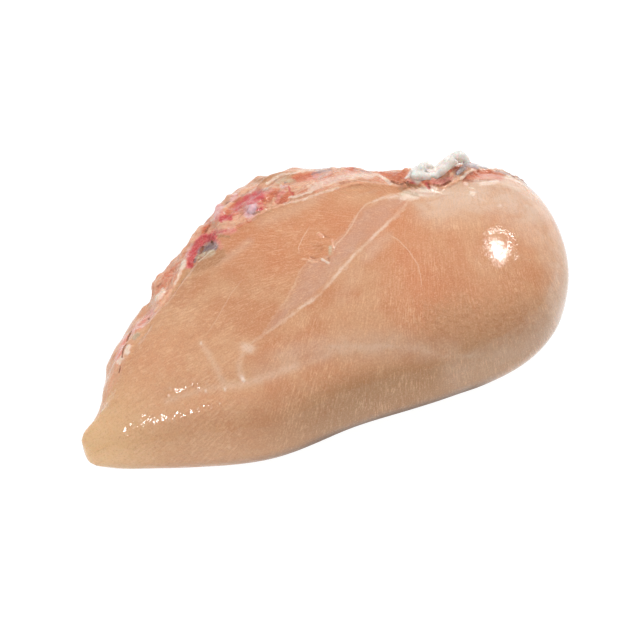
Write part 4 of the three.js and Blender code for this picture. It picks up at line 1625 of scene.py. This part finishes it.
    rough: float = 0.1
    rough_swing: Swing = Swing(0.06, Grain(300.0))
    foot_rough: float = 0.3
    least_rough: float = 0.05
    waves: Grain = Grain(220.0)
    wave_depth: float = 0.07 * MM
    streak_depth: float = 0.02 * MM
    drops: Grain = Grain(1100.0)
    drop_depth: float = 0.13 * MM
    drop_least: float = 0.2
    crinkle_gain: float = 2.2
    dents: Grain = Grain(420.0, 1.0)
    dent_depth: float = 0.32 * MM
    folds: Grain = Grain(1.0, 4.0, 0.6)
    fold_wave: Span = (0.35, 1.0)
    fold_depth: float = 0.5 * MM
    fold_rim: Span = (0.0, 2.0)
    fold_least: float = 0.15
    scatter: float = 0.3
    scatter_radius: Point = (1.0, 0.5, 0.3)
    scatter_depth: float = 2.5 * MM
    shine: float = 0.3
    # The dull shader near the table: a darker colour without shine, which paints shade.
    foot: Colour = linear(104, 86, 73)
    dull_rough: float = 0.9
    dull_span: Span = (0.4, 1.0)
    dull_share: float = 0.8

    def material(self) -> bpy.types.Material:
        """Makes the material.

        Returns:
            The material.
        """
        paint = Paint("raw flesh")
        at = paint.place()
        streaks = self._streaks(paint, *self.streak_wave)
        torn = paint.attribute("past_rim") + self.torn_swing.at(paint, at)
        calm = paint.lift(paint.attribute("raw"), self.torn_least)
        colour = self._smooth_side(paint, at, streaks)
        colour = paint.mix(torn.ramp(*self.torn_rim) * calm, colour, self._torn_side(paint))
        colour = self._tinted(paint, at, colour)
        colour = self.strand.over(paint, colour)
        # Painted shade near the table.
        colour = self.low.over(paint, colour)
        speckle = paint.noise(at, self.speckle_grain)
        colour = self.bright_speckle.over(paint, speckle, colour)
        colour = self.dark_speckle.over(paint, speckle, colour)
        foot = paint.attribute("foot")
        rough = self.rough + self.rough_swing.at(paint, at) + foot * self.foot_rough
        wet = paint.shader({
            "Base Color": colour,
            "Roughness": rough.over(self.least_rough),
            "Normal": self._relief(paint, at, streaks, torn),
            "Subsurface Weight": self.scatter,
            "Subsurface Radius": self.scatter_radius,
            "Subsurface Scale": self.scatter_depth,
            "Specular IOR Level": self.shine,
        })
        # Near the table a dull, darker shader takes over: painted shade without shine.
        dim = paint.mix(speckle, self.foot, LOW_PAINTED_SHADE)
        dull = paint.shader({"Base Color": dim, "Roughness": self.dull_rough, "Specular IOR Level": 0.0})
        share = foot.ramp(*self.dull_span) * self.dull_share
        return paint.finish(paint.node("ShaderNodeMixShader", {}, {0: share, 1: wet, 2: dull}))

    def _relief(self, paint: Paint, at: Wire, streaks: Wire, torn: Wire) -> Wire:
        """Makes the small relief: soft waves, fibres, crinkles of the wet film, dents and torn folds.

        Args:
            paint: The material in the making.
            at: The point.
            streaks: The fibres.
            torn: How far the point is past the ragged rim, in mm.

        Returns:
            The bumped normal.
        """
        drops = paint.noise(at, self.drops)
        drops = drops * (self.drop_least + paint.attribute(Tint.CRINKLE.value) * self.crinkle_gain)
        dents = paint.noise(at, self.dents) * paint.attribute("wet")
        folds = paint.noise(self._along_rim(paint, *self.fold_wave), self.folds)
        folds = folds * torn.ramp(*self.fold_rim)
        folds = folds * (self.fold_least + paint.attribute("raw"))
        normal = paint.bump(paint.noise(at, self.waves), self.wave_depth)
        normal = paint.bump(streaks, self.streak_depth, normal)
        normal = paint.bump(drops, self.drop_depth, normal)
        normal = paint.bump(dents, self.dent_depth, normal)
        return paint.bump(folds, self.fold_depth, normal)

    def _streaks(self, paint: Paint, across: float, along: float) -> Wire:
        """Makes the fibres: fine noise drawn out along the two fans.

        Args:
            paint: The material in the making.
            across: How many lumps the noise has in a radian, across the fibres.
            along: How many it has in a mm along them.

        Returns:
            The noise, of the head's fan and of the lobe's, each on its side of their border.
        """
        made = []
        for fan in FANS:
            angle, reach = paint.attribute(f"{fan.name}_angle"), paint.attribute(f"{fan.name}_reach")
            point = paint.vector(angle * (across * fan.density), reach * along)
            made.append(paint.noise(point, self.streak_grain))
        share = paint.attribute("lobe_share")
        return made[0] * (1 - share) + made[1] * share

    def _along_rim(self, paint: Paint, along: float, across: float) -> Wire:
        """Returns a point for noise that is drawn out along the rim."""
        return paint.vector(paint.attribute("along_rim") * along, paint.attribute("past_rim") * across)

    def _smooth_side(self, paint: Paint, at: Wire, streaks: Wire) -> Wire:
        """Makes the colour of the smooth side, with its silverskin and threads.

        Args:
            paint: The material in the making.
            at: The point.
            streaks: The fibres.

        Returns:
            The colour.
        """
        patches = paint.noise(at, self.patches)
        colour = self.deep.over(paint, patches, self.pale)
        colour = self.warm.over(paint, colour, self.warm_least + patches * self.warm_gain)
        # Painted shade on the steep flanks.
        colour = self.flank.over(paint, colour)
        colour = self.light.over(paint, colour)
        colour = self.tan.over(paint, colour)
        # Whitish film, partly painted sheen.
        colour = self.veil.over(paint, colour, self.wisps.at(paint, at))
        film = paint.attribute("film") + self.film_edge.at(paint, at)
        colour = self.film.over(paint, film, colour, paint.noise(at, self.film_grain))
        colour = self.streak.over(paint, streaks, colour)
        colour = self.dark_streak.over(paint, streaks, colour)
        dashes = self._streaks(paint, *self.dash_wave) * (1 - self.dash_noise)
        dashes = dashes + paint.noise(at, self.dash_grain) * self.dash_noise
        colour = self.dash.over(paint, dashes, colour)
        upper = (paint.noise(at, self.upper_grain) - self.upper_cut).over(0.0)
        colour = self.upper_edge.over(paint, abs(film - self.film_border), colour, upper)
        lower = abs(paint.attribute("film_edge") - self.lower_at + self.lower_swing.at(paint, at))
        reach = paint.attribute("film").ramp(*self.lower_end)
        colour = self.lower_edge.over(paint, lower, colour, reach * self.lower_gaps.at(paint, at))
        colour = self.soft_thread.over(paint, colour, self.soft_gaps.at(paint, at))
        fine = abs(paint.attribute("fine_thread") + self.fine_swing.at(paint, at))
        return self.fine_thread.over(paint, fine, colour, paint.attribute("fine_strength"))

    def _torn_side(self, paint: Paint) -> Wire:
        """Makes the colour of the torn side: pale fat and membrane over redder meat, along the rim.

        Args:
            paint: The material in the making.

        Returns:
            The colour.
        """
        raw = paint.attribute("raw")
        patches = paint.noise(self._along_rim(paint, *self.torn_wave), self.torn_patches)
        colour = self.torn_deep.over(paint, patches, self.torn_pale, paint.lift(raw, self.deep_least))
        veins = paint.noise(self._along_rim(paint, *self.vein_wave), self.torn_veins)
        raw = self.vein_least + raw * self.vein_gain
        return self.torn_line.over(paint, abs(veins - 0.5), colour, raw)

    def _tinted(self, paint: Paint, at: Wire, colour: Wire) -> Wire:
        """Lays the tints over a colour, each in two tones and with a soft ragged edge.

        Args:
            paint: The material in the making.
            at: The point.
            colour: The colour below.

        Returns:
            The colour with the tints on it.
        """
        ragged = self.tint_swing.at(paint, at)
        tones = paint.noise(self._along_rim(paint, *self.tone_wave), self.tone_grain).ramp(*self.tone_span)
        for tint, light, dark in self.tints:
            carried = paint.attribute(tint.value)
            share = (carried + ragged * carried.ramp(*self.tint_start)).ramp(*self.tint_edge)
            colour = paint.mix(share * self.tint_share, colour, paint.mix(tones, light, dark))
        return colour


# ---------------------------------------------------------------- tissue on the muscle


@dataclass(frozen=True)
class Tissue:
    """A finish of the small tissues: two tones in soft patches, a flush of a third, all wet.

    A patch is so many mm wide, and clear is how far the tissue's thinner parts let light through.
    """

    name: str
    pale: Colour
    deep: Colour
    flush: Colour
    flush_share: float
    patch: float
    roughness: float
    clear: float = 0.0
    patch_scale: float = 1000.0
    flush_scale: float = 600.0
    clear_scale: float = 700.0
    deep_span: Span = (0.35, 0.65)
    flush_span: Span = (0.5, 0.7)
    clear_span: Span = (0.3, 0.6)
    rough_swing: Swing = Swing(0.25, Grain(900.0))
    least_rough: float = 0.1
    grain: Grain = Grain(1800.0, 4.0, 0.6)
    depth: float = 0.25 * MM
    scatter: float = 0.6
    scatter_radius: Point = (1.0, 0.6, 0.45)
    scatter_depth: float = 2.0 * MM
    shine: float = 0.5
    coat: float = 0.3
    coat_rough: float = 0.1
    coat_ior: float = 1.35

    def material(self) -> bpy.types.Material:
        """Makes the material.

        Returns:
            The material.
        """
        paint = Paint(self.name)
        at = paint.place()
        patches = paint.noise(at, Grain(self.patch_scale / self.patch, 3.0, 0.6))
        flush = paint.noise(at, Grain(self.flush_scale / self.patch, 2.0, 0.5, 0.5))
        colour = Layer(self.deep, self.deep_span).over(paint, patches, self.pale)
        colour = Layer(self.flush, self.flush_span, self.flush_share).over(paint, flush, colour)
        sockets = {
            "Base Color": colour,
            "Roughness": (self.roughness + self.rough_swing.at(paint, at)).over(self.least_rough),
            "Normal": paint.bump(paint.noise(at, self.grain), self.depth),
            "Subsurface Weight": self.scatter,
            "Subsurface Radius": self.scatter_radius,
            "Subsurface Scale": self.scatter_depth,
            "Specular IOR Level": self.shine,
            "Coat Weight": self.coat,
            "Coat Roughness": self.coat_rough,
            "Coat IOR": self.coat_ior,
        }
        if self.clear:
            thin = paint.noise(at, Grain(self.clear_scale / self.patch, 3.0)).ramp(*self.clear_span)
            sockets["Alpha"] = 1.0 - self.clear * thin
        return paint.finish(paint.shader(sockets))


TENDON_WHITE = Tissue(
    "tendon", linear(236, 233, 227), linear(224, 220, 214), linear(230, 208, 200), 0.35, 3.0, 0.25)
FILM_GREY = Tissue(
    "grey film", linear(238, 234, 234), linear(222, 214, 218), linear(226, 210, 212), 0.5, 2.5, 0.2, 0.35)
CARTILAGE = Tissue(
    "cartilage", linear(236, 204, 210), linear(224, 180, 190), linear(208, 116, 132), 0.35, 2.2, 0.2)


@dataclass(frozen=True)
class Cord:
    """A cord of tissue: pixels along it, its radius at each in mm, and how far it is lifted in mm.

    With no depth it lies on the muscle. With one, it hangs in the plane through that point, given in mm,
    that faces the camera.
    """

    pixels: tuple[Pixel, ...]
    radii: tuple[float, ...]
    lift: float = 0.0
    depth: Point | None = None

    def points(self, muscle: Muscle) -> list[Vector] | np.ndarray:
        """Finds the cord's knots.

        Args:
            muscle: What it lies on or hangs over.

        Returns:
            The knots, in metres.
        """
        if self.depth is None:
            return muscle.route(self.pixels, self.lift * MM)
        through = Vector(self.depth) * MM
        return [muscle.sight.on_plane(p, through) for p in self.pixels]


@dataclass
class Tufts:
    """Cords of one tissue, fused into one piece."""

    name: str
    tissue: Tissue
    cords: tuple[Cord, ...]
    voxel: float = 0.35 * MM
    wobble: float = 0.25 * MM
    wave: float = 2.2 * MM
    wave_splits: tuple[int, ...] = (1, 2)
    smoothing: int = 6
    factor: float = 0.5
    sides: int = 3
    steps: int = 6

    def build(self, muscle: Muscle) -> bpy.types.Object:
        """Makes the piece.

        Args:
            muscle: What the cords lie on.

        Returns:
            The finished piece.
        """
        made = [self._tube(cord, muscle) for cord in self.cords]
        only(made[0])
        for tube in made[1:]:
            tube.select_set(True)
        if len(made) > 1:
            bpy.ops.object.join()
        piece = bpy.context.object
        piece.name = self.name
        remesh(piece, self.voxel)
        apply_modifier(piece, "SMOOTH", factor=self.factor, iterations=self.smoothing)
        skin = Skin(piece)
        everywhere = np.ones(len(skin.points), bool)
        folds = sum(
            skin.relief(self.wave / split, (1, 1, 1), seed, everywhere) / split
            for seed, split in enumerate(self.wave_splits))
        skin.push(folds * self.wobble)
        place(piece, self.tissue.material())
        return piece

    def _tube(self, cord: Cord, muscle: Muscle) -> bpy.types.Object:
        """Makes one cord as a bevelled curve and turns it into a mesh.

        Args:
            cord: The cord.
            muscle: What it lies on.

        Returns:
            The tube.
        """
        points = cord.points(muscle)
        bpy.ops.object.select_all(action="DESELECT")
        bpy.ops.curve.primitive_bezier_curve_add()
        curve = bpy.context.object.data
        curve.splines.clear()
        spline = curve.splines.new("BEZIER")
        spline.bezier_points.add(len(points) - 1)
        for knot, point, radius in zip(spline.bezier_points, points, cord.radii):
            knot.co = point
            knot.handle_left_type = knot.handle_right_type = "AUTO"
            knot.radius = radius
        curve.bevel_depth = MM
        curve.bevel_resolution = self.sides
        curve.resolution_u = self.steps
        curve.use_fill_caps = True
        bpy.ops.object.convert(target="MESH")
        return bpy.context.object


TENDON = Tufts("tendon", TENDON_WHITE, (
    Cord(((411.5, 174), (416, 172), (421, 168.8), (424.5, 166)), (1.3, 1.55, 1.6, 1.35), 0,
         (42.5, 5.7, 39.8)),
    Cord(((411, 176.5), (418, 176), (424, 176.2), (431, 176.8)), (1.15, 1.35, 1.35, 1.2), 0, (42.5, 4.6, 41)),
    Cord(((421, 167.3), (425, 164.8), (429.5, 166), (433, 168.6)), (1.2, 1.25, 0.9, 0.5), 0, (43, 6.5, 39)),
    Cord(((424, 176.4), (431, 176.8), (438.8, 174), (444.9, 169.2), (450, 163.5), (455, 159.5)),
         (1.2, 1.2, 1.15, 1.15, 1.3, 1.65), 0, (45, 5.3, 40.8)),
    Cord(((448, 166), (452, 161.5), (456, 157.6), (460, 156.4), (464, 158.6)),
         (0.9, 1.45, 1.85, 1.9, 1.55), 0, (49, 7, 39)),
    Cord(((462, 157.2), (466, 160), (468.5, 163.5)), (1.45, 1.15, 0.8), 0, (49, 7, 39)),
), wobble=0.3 * MM, wave=1.8 * MM, smoothing=8)
TENDON_FILM = Tufts("tendon_film", FILM_GREY, (
    Cord(((463, 163), (467.5, 165), (473, 166.3), (479, 167.8)), (0.9, 0.85, 0.7, 0.45), 0, (49, 7, 39)),
    Cord(((466, 164), (473, 165), (480, 166.3), (487, 168.3)), (0.6, 0.6, 0.5, 0.3), 0, (49, 7, 39)),
    Cord(((465, 166), (461, 170), (456, 174.5)), (0.7, 0.8, 0.5), 0.1),
), voxel=0.25 * MM, wobble=0.1 * MM, smoothing=4)
NUBS = Tufts("cartilage_nubs", CARTILAGE, (
    Cord(((252, 204.5), (251, 208), (250.3, 212)), (1.2, 1.6, 1.3), -0.9),
))


# ---------------------------------------------------------------- scene


@dataclass
class ContactShade:
    """The dark of the table right under the meat, where no light gets in. It belongs to the table."""

    below: float = 0.8 * MM
    inset: float = 0.6 * MM
    lift: float = 0.02 * MM
    corners: int = 72
    half_sector: float = 2 * MM
    colour: Colour = linear(60, 44, 36)
    second: float = 0.8
    rough: float = 0.9
    grain: Grain = Grain(40.0)

    def build(self, muscle: Muscle) -> bpy.types.Object:
        """Makes the sheet.

        Args:
            muscle: What lies on the table.

        Returns:
            The sheet.
        """
        points = muscle.skin.points
        foot = points[points[:, 2] < self.below][:, :2]
        middle = foot.mean(axis=0)
        spread = foot - middle
        bpy.ops.object.select_all(action="DESELECT")
        bpy.ops.mesh.primitive_circle_add(vertices=self.corners, radius=1.0, fill_type="NGON")
        sheet = bpy.context.object
        sheet.name = "contact_shade"
        for corner in sheet.data.vertices:
            towards = np.array(corner.co[:2])
            across = np.abs(spread @ np.array((-towards[1], towards[0])))
            reach = (spread @ towards)[across < self.half_sector].max() - self.inset
            corner.co = (*(middle + towards * reach), self.lift)
        paint = Paint("dark of the contact")
        grain = paint.noise(paint.place(), self.grain)
        tone = paint.mix(grain, self.colour, shaded(self.colour, self.second))
        shader = paint.shader({"Base Color": tone, "Roughness": self.rough, "Specular IOR Level": 0.0})
        sheet.data.materials.append(paint.finish(shader))
        log.info("%s: %d corners", sheet.name, self.corners)
        return sheet


def main() -> None:
    """Builds the studio and the pieces in order."""
    logging.basicConfig(level=logging.INFO, format="%(name)s %(message)s")
    sight = Sight()
    Studio(sight).build()
    muscle = Muscle(sight)
    muscle.build()
    for tufts in (TENDON, TENDON_FILM, NUBS):
        tufts.build(muscle)
    ContactShade().build(muscle)


if __name__ == "__main__":
    main()
